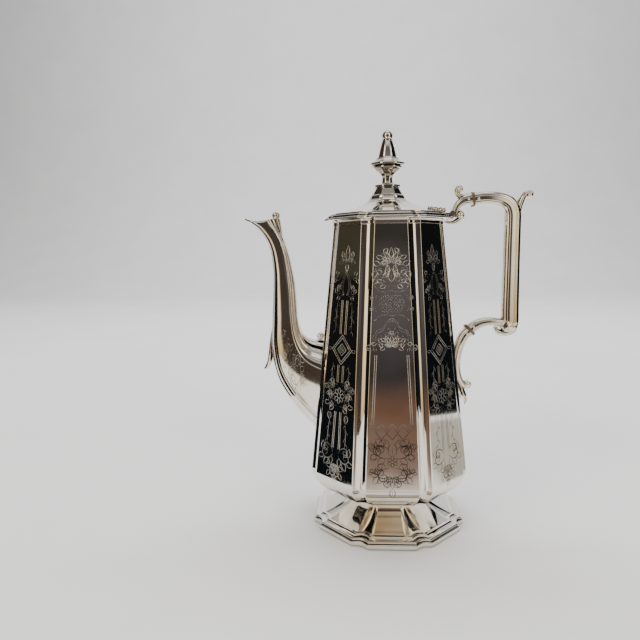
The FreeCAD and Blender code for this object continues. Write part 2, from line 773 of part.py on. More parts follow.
def make_handle(body_outer, rim):
    level = sized(0.0)
    low_joint_x = body_apothem(size.low_joint_z) + size.low_joint_out
    upper_tools = make_insulator("upper_insulator", size.joint_x, size.joint_z, level)
    lower_tools = make_insulator("lower_insulator", low_joint_x, size.low_joint_z, size.low_joint_tilt)

    half_disc = size.insulator_disc / 2
    arm_low = size.joint_z - size.arm_height / 2
    arm_high = size.joint_z + size.arm_height / 2
    socket_end = size.joint_x - half_disc
    clear_x = hinge_x + size.knuckle_radius + size.knuckle_gap
    root_x = size.body_top_apothem

    # Bracket on the rim: an arm that curves up to the insulator, with its volute
    socket = side_profile("upper_socket_blank", [
        (root_x, size.body_top + 0.8), (clear_x + 1.5, size.body_top + 0.2), (clear_x + 4.5, size.body_top + 3.5),
        (clear_x + 6.4, rim_top + 3.2, -size.arm_under_radius), (socket_end, arm_low),
        (socket_end, arm_high, size.arm_over_radius), (clear_x, rim_top + 4.2), (clear_x, rim_top),
        (root_x, rim_top),
    ], size.handle_depth, size.scroll_chamfer)
    add_drum(socket, "upper_socket_volute", clear_x + 5.8, rim_top + 1.6, size.socket_ball, size.handle_depth)
    keep(cut("handle_upper_socket", socket, rim, *upper_tools), "handle_upper_socket")

    thumb_x = clear_x + 2.9
    thumb_z = arm_high + 2.8
    thumb = side_profile("thumb_blank", [
        (thumb_x + 0.4, thumb_z - 8.4), (thumb_x + 5.3, thumb_z - 7.4), (thumb_x + 6.6, thumb_z - 4.2, -5),
        (thumb_x + 1.7, thumb_z - 0.8), (thumb_x, thumb_z), (thumb_x - 1.8, thumb_z - 0.6, 9),
    ], size.scroll_depth, size.scroll_chamfer / 2)
    add_drum(thumb, "thumb_roll", thumb_x, thumb_z, size.thumb_ball, size.scroll_depth)
    keep(cut("thumb_scroll", thumb, socket), "thumb_scroll")

    # Upper arm, corner and upright in one, then the roll that ends it
    arm_start = size.joint_x + half_disc
    inner_x = size.grip_x - size.grip_width / 2
    outer_x = size.grip_x + size.grip_width / 2
    low_inner = size.grip_x - size.grip_low_width / 2
    low_outer = size.grip_x + size.grip_low_width / 2
    grip = side_profile("grip_blank", [
        (arm_start, arm_low), (inner_x - size.grip_inner_radius, arm_low, -size.grip_inner_radius),
        (inner_x, arm_low - size.grip_inner_radius), (low_inner, size.grip_bottom),
        (low_outer, size.grip_bottom), (outer_x, arm_high - size.grip_outer_radius, size.grip_outer_radius),
        (outer_x - size.grip_outer_radius, arm_high), (arm_start, arm_high),
    ], size.handle_depth, size.handle_chamfer)
    volute = side_profile("volute_blank", [
        (size.grip_x + 0.5, size.grip_bottom - 5.1), (size.grip_x + 0.5, size.grip_bottom),
        (size.grip_x - 6.0, size.grip_bottom - 1.6), (size.grip_x - 9.2, size.grip_bottom - 0.9),
        (size.grip_x - 10.8, size.grip_bottom - 3.0), (size.grip_x - 8.0, size.grip_bottom - 4.9),
    ], size.scroll_depth, size.scroll_chamfer / 2)
    add_drum(volute, "volute_roll", size.grip_x, size.grip_bottom, size.volute_radius, size.handle_depth)
    keep(volute, "handle_volute")
    keep(cut("handle_grip", grip, volute, *upper_tools), "handle_grip")

    spur_x = size.grip_x + 12.2
    spur_z = arm_high - 1.6
    spur = side_profile("spur_blank", [
        (outer_x - 6.0, arm_high - 4.0), (outer_x - 0.4, arm_high - 6.6, -7), (spur_x - 2.0, spur_z),
        (spur_x, spur_z), (spur_x + 0.8, spur_z + 2.0, 12), (outer_x - 4.0, arm_high - 0.4),
    ], size.scroll_depth, size.scroll_chamfer / 2)
    add_drum(spur, "spur_roll", spur_x, spur_z, size.spur_ball, size.scroll_depth)
    keep(cut("spur_scroll", spur, grip), "spur_scroll")

    # Lower arm and bracket, square to the tilted insulator
    ahead_x = cosine(size.low_joint_tilt)
    ahead_z = sine(size.low_joint_tilt)

    def low_point(along, across):
        return (low_joint_x + ahead_x * along - ahead_z * across,
                size.low_joint_z + ahead_z * along + ahead_x * across)

    half_arm = size.low_arm_height / 2
    arm_end_x = size.grip_x - size.volute_radius / 2
    arm = side_profile("lower_arm_blank", [
        (*low_point(half_disc, -half_arm), -size.low_arm_under_radius), (arm_end_x, size.grip_bottom + 0.6),
        (arm_end_x, size.grip_bottom + size.volute_radius, size.low_arm_over_radius),
        low_point(half_disc, half_arm),
    ], size.handle_depth, size.scroll_chamfer)
    keep(cut("handle_lower_arm", arm, grip, volute, *lower_tools), "handle_lower_arm")

    socket_low = size.low_joint_z - size.low_socket_drop
    wall_x = body_apothem(socket_low)
    inside_x = size.body_top_apothem
    lower = side_profile("lower_socket_blank", [
        (*low_point(-half_disc, half_arm), size.bracket_inner_radius),
        (low_joint_x - 13.4, size.low_joint_z - 19.0), (inside_x, size.low_joint_z - 22.0), (inside_x, socket_low),
        (wall_x + 4.6, socket_low + 0.2), (wall_x + 8.4, socket_low + 1.6), (wall_x + 8.8, socket_low + 5.0),
        (wall_x + 6.4, socket_low + 8.6), (wall_x + 4.2, socket_low + 12.0, -size.bracket_outer_radius),
        low_point(-half_disc, -half_arm),
    ], size.handle_depth, size.scroll_chamfer)
    add_drum(lower, "lower_socket_volute", wall_x + 8.6, socket_low + 5.0, size.bracket_ball, size.handle_depth)
    keep(cut("handle_lower_socket", lower, body_outer, *lower_tools), "handle_lower_socket")

    tail = side_profile("tail_blank", [
        (inside_x, socket_low), (wall_x + 4.8, socket_low), (wall_x + 8.2, socket_low - 5.8),
        (wall_x + 6.2, socket_low - 11.0), (wall_x + 3.8, socket_low - 7.4),
        (wall_x, socket_low - 9.0), (inside_x, socket_low - 9.0),
    ], size.scroll_depth, size.scroll_chamfer)
    keep(cut("lower_tail_leaf", tail, body_outer), "lower_tail_leaf")


def check_and_write():
    """Stop on any failed object, then write one file per sub-part."""
    document.recompute()
    for thing in document.Objects:
        if "Invalid" in thing.State or "Error" in thing.State:
            raise RuntimeError(f"{thing.Label} failed: {thing.State}")
    for piece in pieces:
        if piece.Shape.isNull() or not piece.Shape.isValid() or not piece.Shape.Solids:
            raise RuntimeError(f"{piece.Label} has no valid solid")
    os.makedirs("parts", exist_ok=True)
    for piece in pieces:
        piece.Shape.exportStep(f"parts/{piece.Label}.step")
        print(piece.Label, len(piece.Shape.Solids), round(piece.Shape.Volume, 1))


outer_body = make_body()
make_foot()
outer_rim = make_rim()
make_lid()
make_hinge()
make_spout(outer_body, outer_rim)
make_handle(outer_body, outer_rim)
check_and_write()
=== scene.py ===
"""Looks of the octagonal silver coffee pot: polished silver, engraved panels, aged insulators, studio."""

import math

import bmesh
import bpy
from mathutils import Matrix, Vector


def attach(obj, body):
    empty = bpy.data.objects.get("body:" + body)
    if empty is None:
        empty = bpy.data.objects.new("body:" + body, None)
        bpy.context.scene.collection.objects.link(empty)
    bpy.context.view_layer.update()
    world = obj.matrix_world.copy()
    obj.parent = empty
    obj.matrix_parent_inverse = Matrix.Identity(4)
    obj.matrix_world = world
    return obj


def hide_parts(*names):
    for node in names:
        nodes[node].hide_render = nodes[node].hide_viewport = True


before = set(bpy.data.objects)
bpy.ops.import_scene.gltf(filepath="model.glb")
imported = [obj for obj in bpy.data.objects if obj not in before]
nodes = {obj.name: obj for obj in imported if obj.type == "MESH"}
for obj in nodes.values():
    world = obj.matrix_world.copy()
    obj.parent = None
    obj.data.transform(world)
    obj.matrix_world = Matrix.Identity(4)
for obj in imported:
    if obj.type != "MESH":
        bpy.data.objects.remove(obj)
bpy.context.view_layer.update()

# Camera, from the photograph's perspective: millimetres, degrees and pixels of a 640 frame
CAMERA_PLACE = (-50.4, -396.3, 201.0)
CAMERA_PITCH = 6.92
CAMERA_ROLL = -0.78
POT_YAW = -3.25
FOCAL_PIXELS = 530.3
FRAME_PIXELS = 640
SENSOR = 36.0
NEAR_CLIP = 0.01

# Main sizes of the pot, millimetres; the width of an octagon is its apothem, from the axis to a flat
MM = 0.001
HALF = math.pi / 8
BODY_TOP = 222.0
BODY_TOP_APOTHEM = 38.8
BODY_WIDEST = 44.0
BODY_WIDEST_APOTHEM = 56.8
BODY_BOTTOM = 24.5
BODY_BOTTOM_APOTHEM = 34.0
BODY_BOTTOM_MIDDLE = 12.0
BODY_WALL = 1.2
BOWL_STEPS = 14
FLUTE_CHORD = 9.3
FLUTE_DEPTH = 1.4
FLUTE_DEPTH_AT = 45
FOOT_CHORD_SHARE = 0.23
FOOT_FLUTE_SHARE = 0.045
BORDER_CHORD = 11.0
BORDER_FLUTE = 2.2
RIM_FLUTE = 2.0
EDGE = 0.5
SMALL_EDGE = 0.2
TOTAL_HEIGHT = 290.0
BALL_RADIUS = 3.9
STRAINER_HEIGHT = 98.0
STRAINER_PITCH = 7.0
STRAINER_RADIUS = 1.6

# Meshes: the angle above which an edge stays sharp, degrees, and the distance that merges points, metres
SHARP_ANGLE = 42
SPOUT_SHARP_ANGLE = 75
MERGE_DISTANCE = 1e-7

# Silver: scales of its patterns, tarnish with painted shade in crevices, and painted shade low on the
# engraving, metres
CLOUD_SCALE = 38.0
POLISH_SCALE = 2600.0
SHEET_SCALE = 30.0
SHEET_DEPTH = 0.0008
CREVICE_REACH = 0.003
CREVICE_TARNISH_AND_SHADE = (0.10, 0.075, 0.055)
PAINTED_SHADE_BELOW = 0.080
PAINTED_SHADE_ABOVE = 0.100
LOW_PAINTED_SHADE = (0.055, 0.047, 0.040)


def add_object(name, data):
    """A new object in the scene."""
    thing = bpy.data.objects.new(name, data)
    bpy.context.scene.collection.objects.link(thing)
    return thing


def add_camera():
    """The photograph's camera, turned with its place so that the pot stands square in its own frame."""
    data = bpy.data.cameras.new("camera")
    data.sensor_width = SENSOR
    data.lens = SENSOR * FOCAL_PIXELS / FRAME_PIXELS
    data.clip_start = NEAR_CLIP
    camera = add_object("camera", data)
    turn = Matrix.Rotation(math.radians(-POT_YAW), 3, "Z")
    pitch = math.radians(CAMERA_PITCH)
    roll = math.radians(CAMERA_ROLL)
    ahead = turn @ Vector((0, math.cos(pitch), -math.sin(pitch)))
    up = turn @ Vector((0, math.sin(pitch), math.cos(pitch)))
    right = turn @ Vector((1, 0, 0))
    right, up = (right * math.cos(roll) + up * math.sin(roll),
                 up * math.cos(roll) - right * math.sin(roll))
    basis = Matrix((right, up, -ahead)).transposed().to_4x4()
    camera.matrix_world = Matrix.Translation(turn @ Vector(CAMERA_PLACE) * MM) @ basis
    bpy.context.scene.camera = camera


class Nodes:
    """A short way to write a node tree."""

    def __init__(self, tree):
        self.tree = tree
        tree.nodes.clear()

    def add(self, kind, inputs=None, **settings):
        """A node with its settings, and with its inputs linked or set."""
        node = self.tree.nodes.new(kind)
        for name, value in settings.items():
            setattr(node, name, value)
        for name, value in (inputs or {}).items():
            if isinstance(value, bpy.types.NodeSocket):
                self.tree.links.new(value, node.inputs[name])
            else:
                node.inputs[name].default_value = value
        return node

    def math(self, operation, first, second):
        return self.add("ShaderNodeMath", {0: first, 1: second}, operation=operation).outputs[0]

    def range(self, value, low, high, to_low=0.0, to_high=1.0):
        """A smooth step from one range to another."""
        inputs = {"Value": value, "From Min": low, "From Max": high, "To Min": to_low, "To Max": to_high}
        return self.add("ShaderNodeMapRange", inputs, interpolation_type="SMOOTHSTEP").outputs["Result"]

    def mix(self, factor, *colours):
        """A mix of two colours, each a link or three numbers."""
        first, second = [colour if isinstance(colour, bpy.types.NodeSocket) else (*colour, 1)
                         for colour in colours]
        return self.add("ShaderNodeMix", {0: factor, 6: first, 7: second}, data_type="RGBA").outputs[2]

    def noise(self, place, scale, detail):
        inputs = {"Vector": place, "Scale": scale, "Detail": detail}
        return self.add("ShaderNodeTexNoise", inputs).outputs["Fac"]

    def axes(self, place):
        return self.add("ShaderNodeSeparateXYZ", {"Vector": place}).outputs

    def bump(self, height, strength, distance):
        inputs = {"Height": height, "Strength": strength, "Distance": distance}
        return self.add("ShaderNodeBump", inputs).outputs["Normal"]

    def principled(self, inputs):
        """A Principled shader as the material's surface."""
        shader = self.add("ShaderNodeBsdfPrincipled", inputs)
        self.add("ShaderNodeOutputMaterial", {"Surface": shader.outputs["BSDF"]})

    def ramp(self, factor, stops):
        """A colour ramp through stops of (place, colour)."""
        node = self.add("ShaderNodeValToRGB", {"Fac": factor})
        ramp = node.color_ramp
        while len(ramp.elements) < len(stops):
            ramp.elements.new(0.5)
        for element, (place, colour) in zip(ramp.elements, stops):
            element.position = place
            element.color = (*colour, 1)
        return node.outputs["Color"]


def new_material(name):
    """A material, its empty node tree, and the place on the object that its patterns follow."""
    material = bpy.data.materials.new(name)
    material.use_nodes = True
    tree = Nodes(material.node_tree)
    return material, tree, tree.add("ShaderNodeTexCoord").outputs["Object"]


def silver_material(name, tint, roughness, tarnish, wave=0.05, low_painted_shade=False):
    """Polished silver: fine polish marks, slightly uneven sheet, warm tarnish in patches, and crevices
    darkened by ambient occlusion as tarnish and painted shade; on request, painted shade low down.
    """
    material, tree, place = new_material(name)
    dark = tuple(channel * factor for channel, factor in zip(tint, tarnish))
    colour = tree.ramp(tree.noise(place, CLOUD_SCALE, 6.0), [(0.36, dark), (0.62, tint)])
    # Crevice tarnish and painted shade: ambient occlusion darkens recesses and the lines where separate
    # pieces meet.
    tarnish_and_shade_mask = tree.add("ShaderNodeAmbientOcclusion", {"Distance": CREVICE_REACH}, samples=6).outputs["AO"]
    colour = tree.mix(tree.range(tarnish_and_shade_mask, 0.35, 0.85), CREVICE_TARNISH_AND_SHADE, colour)
    if low_painted_shade:
        # Painted shade: the finish turns darker below 80 to 100 mm, standing in for dark reflections low on
        # the pot.
        colour = tree.mix(tree.range(tree.axes(place)["Z"], PAINTED_SHADE_BELOW, PAINTED_SHADE_ABOVE), LOW_PAINTED_SHADE, colour)
    polish = tree.noise(place, POLISH_SCALE, 3.0)
    tree.principled({
        "Base Color": colour,
        "Roughness": tree.range(polish, 0.35, 0.7, roughness * 0.7, roughness * 1.5),
        "Metallic": 1.0,
        "Normal": tree.bump(tree.noise(place, SHEET_SCALE, 1.0), wave, SHEET_DEPTH),
    })
    return material


def ivory_material():
    """Old ivory-coloured insulator: browned cream with faint growth lines."""
    material, tree, place = new_material("aged_ivory")
    wave = {"Vector": place, "Scale": 420.0, "Distortion": 5.0, "Detail": 3.0}
    lines = tree.add("ShaderNodeTexWave", wave).outputs["Fac"]
    both = tree.math("MULTIPLY", lines, tree.noise(place, 160.0, 5.0))
    browns = [(0.05, (0.05, 0.028, 0.01)), (0.3, (0.15, 0.095, 0.035)), (0.8, (0.30, 0.21, 0.085))]
    tree.principled({"Base Color": tree.ramp(both, browns), "Roughness": 0.32,
                     "Normal": tree.bump(lines, 0.15, 0.0002)})
    return material


def dark_material():
    """The dim inside of a drilled hole."""
    material, tree, place = new_material("hole_shade")
    shades = [(0.3, (0.006, 0.005, 0.004)), (0.7, (0.02, 0.016, 0.012))]
    tree.principled({"Base Color": tree.ramp(tree.noise(place, 900.0, 2.0), shades), "Roughness": 0.6})
    return material


def add_piece(name, shape, material, body, *replaced, sharp=SHARP_ANGLE):
    """A smooth mesh from (points in millimetres, faces), riding on a body in place of its nodes."""
    points, faces = shape
    mesh = bpy.data.meshes.new(name)
    mesh.from_pydata([tuple(number * MM for number in point) for point in points], [], faces)
    work = bmesh.new()
    work.from_mesh(mesh)
    bmesh.ops.remove_doubles(work, verts=work.verts, dist=MERGE_DISTANCE)
    bmesh.ops.recalc_face_normals(work, faces=work.faces)
    work.to_mesh(mesh)
    work.free()
    mesh.shade_smooth()
    mesh.set_sharp_from_angle(angle=math.radians(sharp))
    mesh.materials.append(material)
    piece = add_object(name, mesh)
    flats = piece.modifiers.new("flat_faces", "WEIGHTED_NORMAL")
    flats.keep_sharp = True
    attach(piece, body)
    if replaced:
        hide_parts(*replaced)


def stitch(rings, cap_start=True, cap_end=True):
    """Quads between rings of equal length, and a cap at each end."""
    count = len(rings[0])
    points = [point for ring in rings for point in ring]
    faces = []
    for level in range(len(rings) - 1):
        low = level * count
        for step in range(count):
            after = (step + 1) % count
            faces.append((low + step, low + after, low + count + after, low + count + step))
    if cap_start:
        faces.append(tuple(reversed(range(count))))
    if cap_end:
        faces.append(tuple(range(len(points) - count, len(points))))
    return points, faces


def join(*shapes):
    """Several shapes as one."""
    points = []
    faces = []
    for some_points, some_faces in shapes:
        start = len(points)
        points.extend(some_points)
        faces.extend(tuple(start + corner for corner in face) for face in some_faces)
    return points, faces


def circle(count):
    """Cosine and sine of even steps round a turn."""
    turns = [2 * math.pi * step / count for step in range(count)]
    return [(math.cos(turn), math.sin(turn)) for turn in turns]


def bend(first, corner, last):
    """Points of a rounded corner, without its ends."""
    return [first * (1 - share) ** 2 + corner * 2 * share * (1 - share) + last * share ** 2
            for share in (0.25, 0.5, 0.75)]


def soften(line, edge=EDGE):
    """Round each sharp corner of a profile of (apothem, height), with a support point either side."""
    line = [Vector(point) for point in line]
    result = [line[0]]
    for before, corner, after in zip(line, line[1:], line[2:]):
        first = corner - before
        second = after - corner
        if first.length < 1e-6 or second.length < 1e-6:
            continue
        if first.angle(second) < 0.3:
            result.append(corner)
            continue
        cut = min(edge, first.length * 0.3, second.length * 0.3)
        start = corner - first.normalized() * cut
        end = corner + second.normalized() * cut
        result += [start - first.normalized() * cut * 0.5, start, *bend(start, corner, end), end,
                   end + second.normalized() * cut * 0.5]
    return result + [line[-1]]


def fluted_ring(apothem, height, chord, depth, edge=EDGE):
    """One level of an octagon with concave flutes at its corners and slightly rounded arrises."""
    chord = min(chord, apothem * 0.4)
    half_flat = apothem * math.tan(HALF) - chord / (2 * math.cos(HALF))
    radius = (chord * chord / 4 + depth * depth) / (2 * depth)
    soft = min(edge, half_flat * 0.2, chord * 0.2)
    reach = apothem * math.cos(HALF) + half_flat * math.sin(HALF)
    ring = []
    for panel in range(8):
        flat = Matrix.Rotation(panel * math.pi / 4, 2)
        corner = Matrix.Rotation(panel * math.pi / 4 + HALF, 2)
        next_flat = Matrix.Rotation((panel + 1) * math.pi / 4, 2)

        def flute(share):
            across = share * chord / 2
            dip = math.sqrt(radius * radius - across * across) - (radius - depth)
            return corner @ Vector((reach - dip, across))

        inner = 1 - 2 * soft / chord
        leave = flat @ Vector((apothem, half_flat - soft))
        arrive = next_flat @ Vector((apothem, soft - half_flat))
        points = [flat @ Vector((apothem, -half_flat + 2 * soft)),
                  flat @ Vector((apothem, half_flat - 2 * soft)), leave]
        points += bend(leave, flute(-1), flute(-inner))
        points += [flute(inner * (step / 4 - 1)) for step in range(9)]
        points += bend(flute(inner), flute(1), arrive) + [arrive]
        ring += [(point.x, point.y, height) for point in points]
    return ring


def octagon_loft(line, chord, depth, closed=False, edge=EDGE, round_edge=EDGE):
    """A fluted octagon carried along a profile; chord and depth are functions of the apothem."""
    profile = soften(line, round_edge)
    rings = [fluted_ring(point.x, point.y, chord(point.x), depth(point.x), edge) for point in profile]
    return stitch(rings, cap_start=not closed, cap_end=not closed)


def body_apothem(height):
    """Apothem of the body at a height, on the straight stretch or in the rounded bottom."""
    if height >= BODY_WIDEST:
        share = (height - BODY_WIDEST) / (BODY_TOP - BODY_WIDEST)
        return BODY_WIDEST_APOTHEM + (BODY_TOP_APOTHEM - BODY_WIDEST_APOTHEM) * share
    drop = min((BODY_WIDEST - height) / (BODY_WIDEST - BODY_BOTTOM), 1.0)
    return BODY_BOTTOM_APOTHEM + (BODY_WIDEST_APOTHEM - BODY_BOTTOM_APOTHEM) * math.sqrt(1 - drop * drop)


def bowl_line(wall):
    """Profile of the rounded bottom from its middle up to the widest level."""
    bulge = BODY_WIDEST_APOTHEM - BODY_BOTTOM_APOTHEM
    drop = BODY_WIDEST - BODY_BOTTOM - wall
    turns = [math.pi / 2 * (1 - step / BOWL_STEPS) for step in range(BOWL_STEPS + 1)]
    return [(BODY_BOTTOM_APOTHEM + bulge * math.cos(turn) - wall, BODY_WIDEST - drop * math.sin(turn))
            for turn in turns]


def flare_line(low, high, low_apothem, high_apothem, steps=14):
    """Profile of a concave flare from its low edge to its high one."""
    shares = [step / steps for step in range(steps + 1)]
    return [(high_apothem + (low_apothem - high_apothem) * (1 - share) ** 2, low + (high - low) * share)
            for share in shares]


def steady(number):
    """A flute's chord or depth that stays the same at every apothem."""
    return lambda apothem: number


def share_of(share):
    """A flute's chord or depth that grows with the apothem."""
    return lambda apothem: apothem * share


def small_loft(line, chord=0.14, depth=0.006):
    """A loft for cap and finial, whose corners are hardly fluted."""
    return octagon_loft(line, share_of(chord), share_of(depth), edge=SMALL_EDGE, round_edge=SMALL_EDGE)


def make_vessel(silver):
    """Body, foot and borders."""
    outside = [(BODY_BOTTOM_MIDDLE, BODY_BOTTOM)] + bowl_line(0.0) + [(BODY_TOP_APOTHEM, BODY_TOP)]
    inside = [(BODY_BOTTOM_MIDDLE, BODY_BOTTOM + BODY_WALL)] + bowl_line(BODY_WALL)
    inside.append((BODY_TOP_APOTHEM - BODY_WALL, BODY_TOP))
    depth = share_of(FLUTE_DEPTH / FLUTE_DEPTH_AT)
    shell = octagon_loft(outside + inside[::-1], steady(FLUTE_CHORD), depth)
    add_piece("panelled_body", shell, silver, "pot", "body_shell")

    flutes = share_of(FOOT_CHORD_SHARE), share_of(FOOT_FLUTE_SHARE)
    ring = [(10.0, 22.5), (29.6, 22.5), (30.6, 22.8), (31.0, 23.5), (30.6, 24.2), (29.6, 24.5), (10.0, 24.5)]
    add_piece("bead_ring", octagon_loft(ring, *flutes), silver, "pot", "neck_ring")

    flare = flare_line(6.6, 22.5, 47.6, 27.0)
    hollow = flare_line(6.6, 21.2, 46.3, 25.7)
    foot = [(6.0, 21.2)] + hollow[::-1] + flare + [(6.0, 22.5)]
    add_piece("flared_foot", octagon_loft(foot, *flutes), silver, "pot", "foot")

    line = [(44.6, 0.0), (55.0, 0.0), (55.6, 0.4), (55.6, 3.3), (55.1, 3.7), (54.0, 3.7), (54.0, 4.1),
            (54.4, 4.3), (54.4, 4.9), (53.6, 5.3), (52.4, 5.3), (51.2, 5.5), (50.0, 6.0), (49.4, 6.6),
            (47.0, 6.6), (44.6, 6.6), (44.6, 0.0)]
    border = octagon_loft(line, steady(BORDER_CHORD), steady(BORDER_FLUTE), closed=True, round_edge=0.25)
    add_piece("stepped_border", border, silver, "pot", "foot_border")

    line = [(37.6, 222.0), (39.1, 222.0), (39.1, 224.1), (39.9, 224.4), (40.3, 224.9), (42.6, 225.1),
            (44.8, 225.3), (45.6, 225.7), (45.6, 226.5), (45.0, 226.9), (44.2, 226.9), (44.2, 227.4),
            (37.6, 227.4), (37.6, 222.0)]
    rim = octagon_loft(line, steady(FLUTE_CHORD), steady(RIM_FLUTE), closed=True, round_edge=0.22)
    add_piece("moulded_rim", rim, silver, "pot", "rim_border")


def make_strainer(material):
    """Drilled holes behind the spout, as dark discs just inside the wall, which leans back by a tenth."""
    shapes = []
    for row in (-1, 0, 1):
        for column in (-1, 0, 1):
            height = STRAINER_HEIGHT + STRAINER_PITCH * row
            reach = body_apothem(height) - BODY_WALL - 0.04
            rim = []
            for across, along in circle(20):
                drop = STRAINER_RADIUS * along
                rim.append((-reach + 0.1 * drop, STRAINER_PITCH * column + STRAINER_RADIUS * across,
                            height + drop))
            back = [(x - 0.3, y, z) for x, y, z in rim]
            shapes.append(stitch([back, rim]))
    add_piece("strainer_holes", join(*shapes), material, "pot")


def make_hinge_leaf(cast):
    """Three ridged leaves up the hinge side of the lid, each proud at every other point."""
    slope = [point for point in flare_line(230.2, 243.0, 40.2, 12.4, 32) if 27.0 < point[0] < 40.3]
    leaves = []
    for across, tall in ((0.0, 1.4), (-8.7, 3.4), (8.7, 3.4)):
        strap = []
        for count, (apothem, height) in enumerate(reversed(slope)):
            share = count / (len(slope) - 1)
            proud, wide = ((1.0, 3.6), (0.8, 2.6))[count % 2]
            strap.append((apothem, height + 0.3, tall * proud * (0.45 + 0.55 * share),
                          wide * (0.6 + 0.4 * share)))
        points, faces = sweep(strap, leaf_section(), 4)
        leaves.append(([(x, y + across, z) for x, y, z in points], faces))
    add_piece("hinge_leaf", join(*leaves), cast, "lid")


def finial_ball():
    """The ball on top of the finial."""
    rings = []
    for step in range(1, 24):
        turn = math.pi * step / 24
        height = TOTAL_HEIGHT - BALL_RADIUS - BALL_RADIUS * math.cos(turn)
        rings.append([(BALL_RADIUS * math.sin(turn) * across, BALL_RADIUS * math.sin(turn) * along, height)
                      for across, along in circle(32)])
    return stitch(rings)


def make_lid(silver, cast):
    """Lid with its border, hinge ornament, cap and finial."""
    line = [(35.4, 227.65), (42.5, 227.65), (43.0, 228.0), (43.0, 228.5), (42.5, 228.9), (41.8, 228.9),
            (41.8, 229.4), (35.4, 229.4), (35.4, 227.65)]
    border = octagon_loft(line, steady(FLUTE_CHORD), steady(RIM_FLUTE), closed=True, round_edge=0.2)
    add_piece("moulded_lid_border", border, silver, "lid", "lid_border")
    outside = [(40.2, 229.4)] + flare_line(230.2, 243.0, 40.2, 12.4, 18) + [(5.0, 243.0)]
    inside = [(39.1, 229.4)] + flare_line(229.6, 241.9, 39.1, 11.3, 18) + [(5.0, 241.9)]
    tent = octagon_loft(inside[::-1] + outside, share_of(0.2), share_of(0.008), edge=0.3)
    add_piece("tent_lid", tent, silver, "lid", "lid")
    make_hinge_leaf(cast)

    cap = [(3.0, 243.0), (11.6, 243.0), (11.6, 243.6), (10.9, 244.1), (8.2, 249.0), (8.2, 249.5),
           (9.3, 249.8), (9.3, 250.9), (8.6, 251.4), (3.0, 251.4)]
    add_piece("octagonal_cap", small_loft(cap, 0.12, 0.004), silver, "lid", "lid_cap")
    lower = [(2.2, 251.4), (4.6, 251.4), (4.6, 252.0), (3.9, 252.7), (3.6, 254.4), (3.6, 256.2), (4.0, 257.2),
             (4.8, 258.6), (6.2, 260.0), (7.6, 261.0), (9.2, 262.0), (10.4, 263.2), (10.6, 264.0),
             (9.2, 264.2), (9.2, 264.9), (11.9, 265.0), (12.3, 265.4), (12.3, 266.2), (2.2, 266.2)]
    add_piece("finial_cup", small_loft(lower), silver, "lid", "finial_lower")
    upper = [(2.2, 266.2), (12.3, 266.2), (12.0, 266.7), (10.2, 267.5), (8.6, 268.6), (7.8, 269.6),
             (7.6, 270.2), (6.9, 270.3), (6.6, 270.8), (5.2, 276.8), (3.8, 281.9), (3.4, 282.6), (3.4, 283.4)]
    add_piece("finial_spire", join(small_loft(upper), finial_ball()), silver, "lid", "finial_upper")


# The handle's reeding: points round its section, and its grooves as shares of the width and in radians
REEDED_POINTS = 112
GROOVE_DEPTH = 0.035
GROOVE_WIDTH = 0.06

# End of a roll: distance inwards from its end, millimetres, and share of its radius
ROLL_END = [(-0.5, 0.02), (-0.45, 0.3), (-0.1, 0.5), (0, 0.58), (0.05, 0.76), (0.35, 0.93), (0.9, 1.0)]


def curve(points, steps=10):
    """A smooth line through points of any number of coordinates."""
    points = [Vector(point) for point in points]
    ends = [points[0] * 2 - points[1]] + points + [points[-1] * 2 - points[-2]]
    result = []
    for before, start, end, after in zip(ends, ends[1:], ends[2:], ends[3:]):
        for step in range(steps):
            share = step / steps
            result.append((start * 2 + (end - before) * share
                           + (before * 2 - start * 5 + end * 4 - after) * share ** 2
                           + (start * 3 - before - end * 3 + after) * share ** 3) / 2)
    return result + [points[-1]]


def round_section(count=28):
    """A circle."""
    return [(across, -along) for across, along in circle(count)]


def reeded_section():
    """A rounded square with a fine groove at each of its eight arrises."""
    section = []
    for step in range(REEDED_POINTS):
        turn = 2 * math.pi * step / REEDED_POINTS
        across, along = math.cos(turn), math.sin(turn)
        reach = (abs(across) ** 3 + abs(along) ** 3) ** (-1 / 3)
        off = (turn + HALF) % (math.pi / 4)
        off = min(off, math.pi / 4 - off)
        reach *= 1 - GROOVE_DEPTH * math.exp(-(off / GROOVE_WIDTH) ** 2)
        section.append((across * reach, -along * reach))
    return section


def leaf_section():
    """A thin leaf with a raised rib."""
    return [(1.0, 0.0), (0.45, -0.12), (0.35, -0.5), (0.5, -0.9), (0.1, -1.0), (-0.5, -0.6), (-0.8, 0.0),
            (-0.5, 0.6), (0.1, 1.0), (0.5, 0.9), (0.35, 0.5), (0.45, 0.12)]


def directions(line):
    """The way ahead at each point of a line, in its first two coordinates."""
    ends = [line[0], *line, line[-1]]
    return [(after - before).to_2d().normalized() for before, after in zip(ends, ends[2:])]


def sweep(controls, section, steps=10):
    """A section carried along a line in the XZ plane; each control is (x, z, half height, half depth)."""
    line = curve(controls, steps)
    rings = []
    for (x, z, tall, deep), ahead in zip(line, directions(line)):
        rings.append([(x - ahead.y * across * tall, along * deep, z + ahead.x * across * tall)
                      for across, along in section])
    return stitch(rings)


def roll(x, z, radius, half_length):
    """A small roll across the handle, with a raised eye at each end."""
    side = [(-half_length + inward, share) for inward, share in ROLL_END]
    side += [(-place, share) for place, share in side[::-1]]
    return stitch([[(x + radius * share * across, place, z + radius * share * along)
                    for across, along in circle(28)] for place, share in side])


def rivet(x, z, reach, radius):
    """Domed heads at both ends of a cross pin."""
    shapes = []
    for side in (-1, 1):
        rings = []
        for step in range(7):
            turn = math.pi / 2 * step / 6.5
            wide, out = radius * math.cos(turn), side * (reach + radius * 0.7 * math.sin(turn))
            rings.append([(x + wide * across, out, z + wide * along) for across, along in circle(20)])
        shapes.append(stitch(rings))
    return join(*shapes)


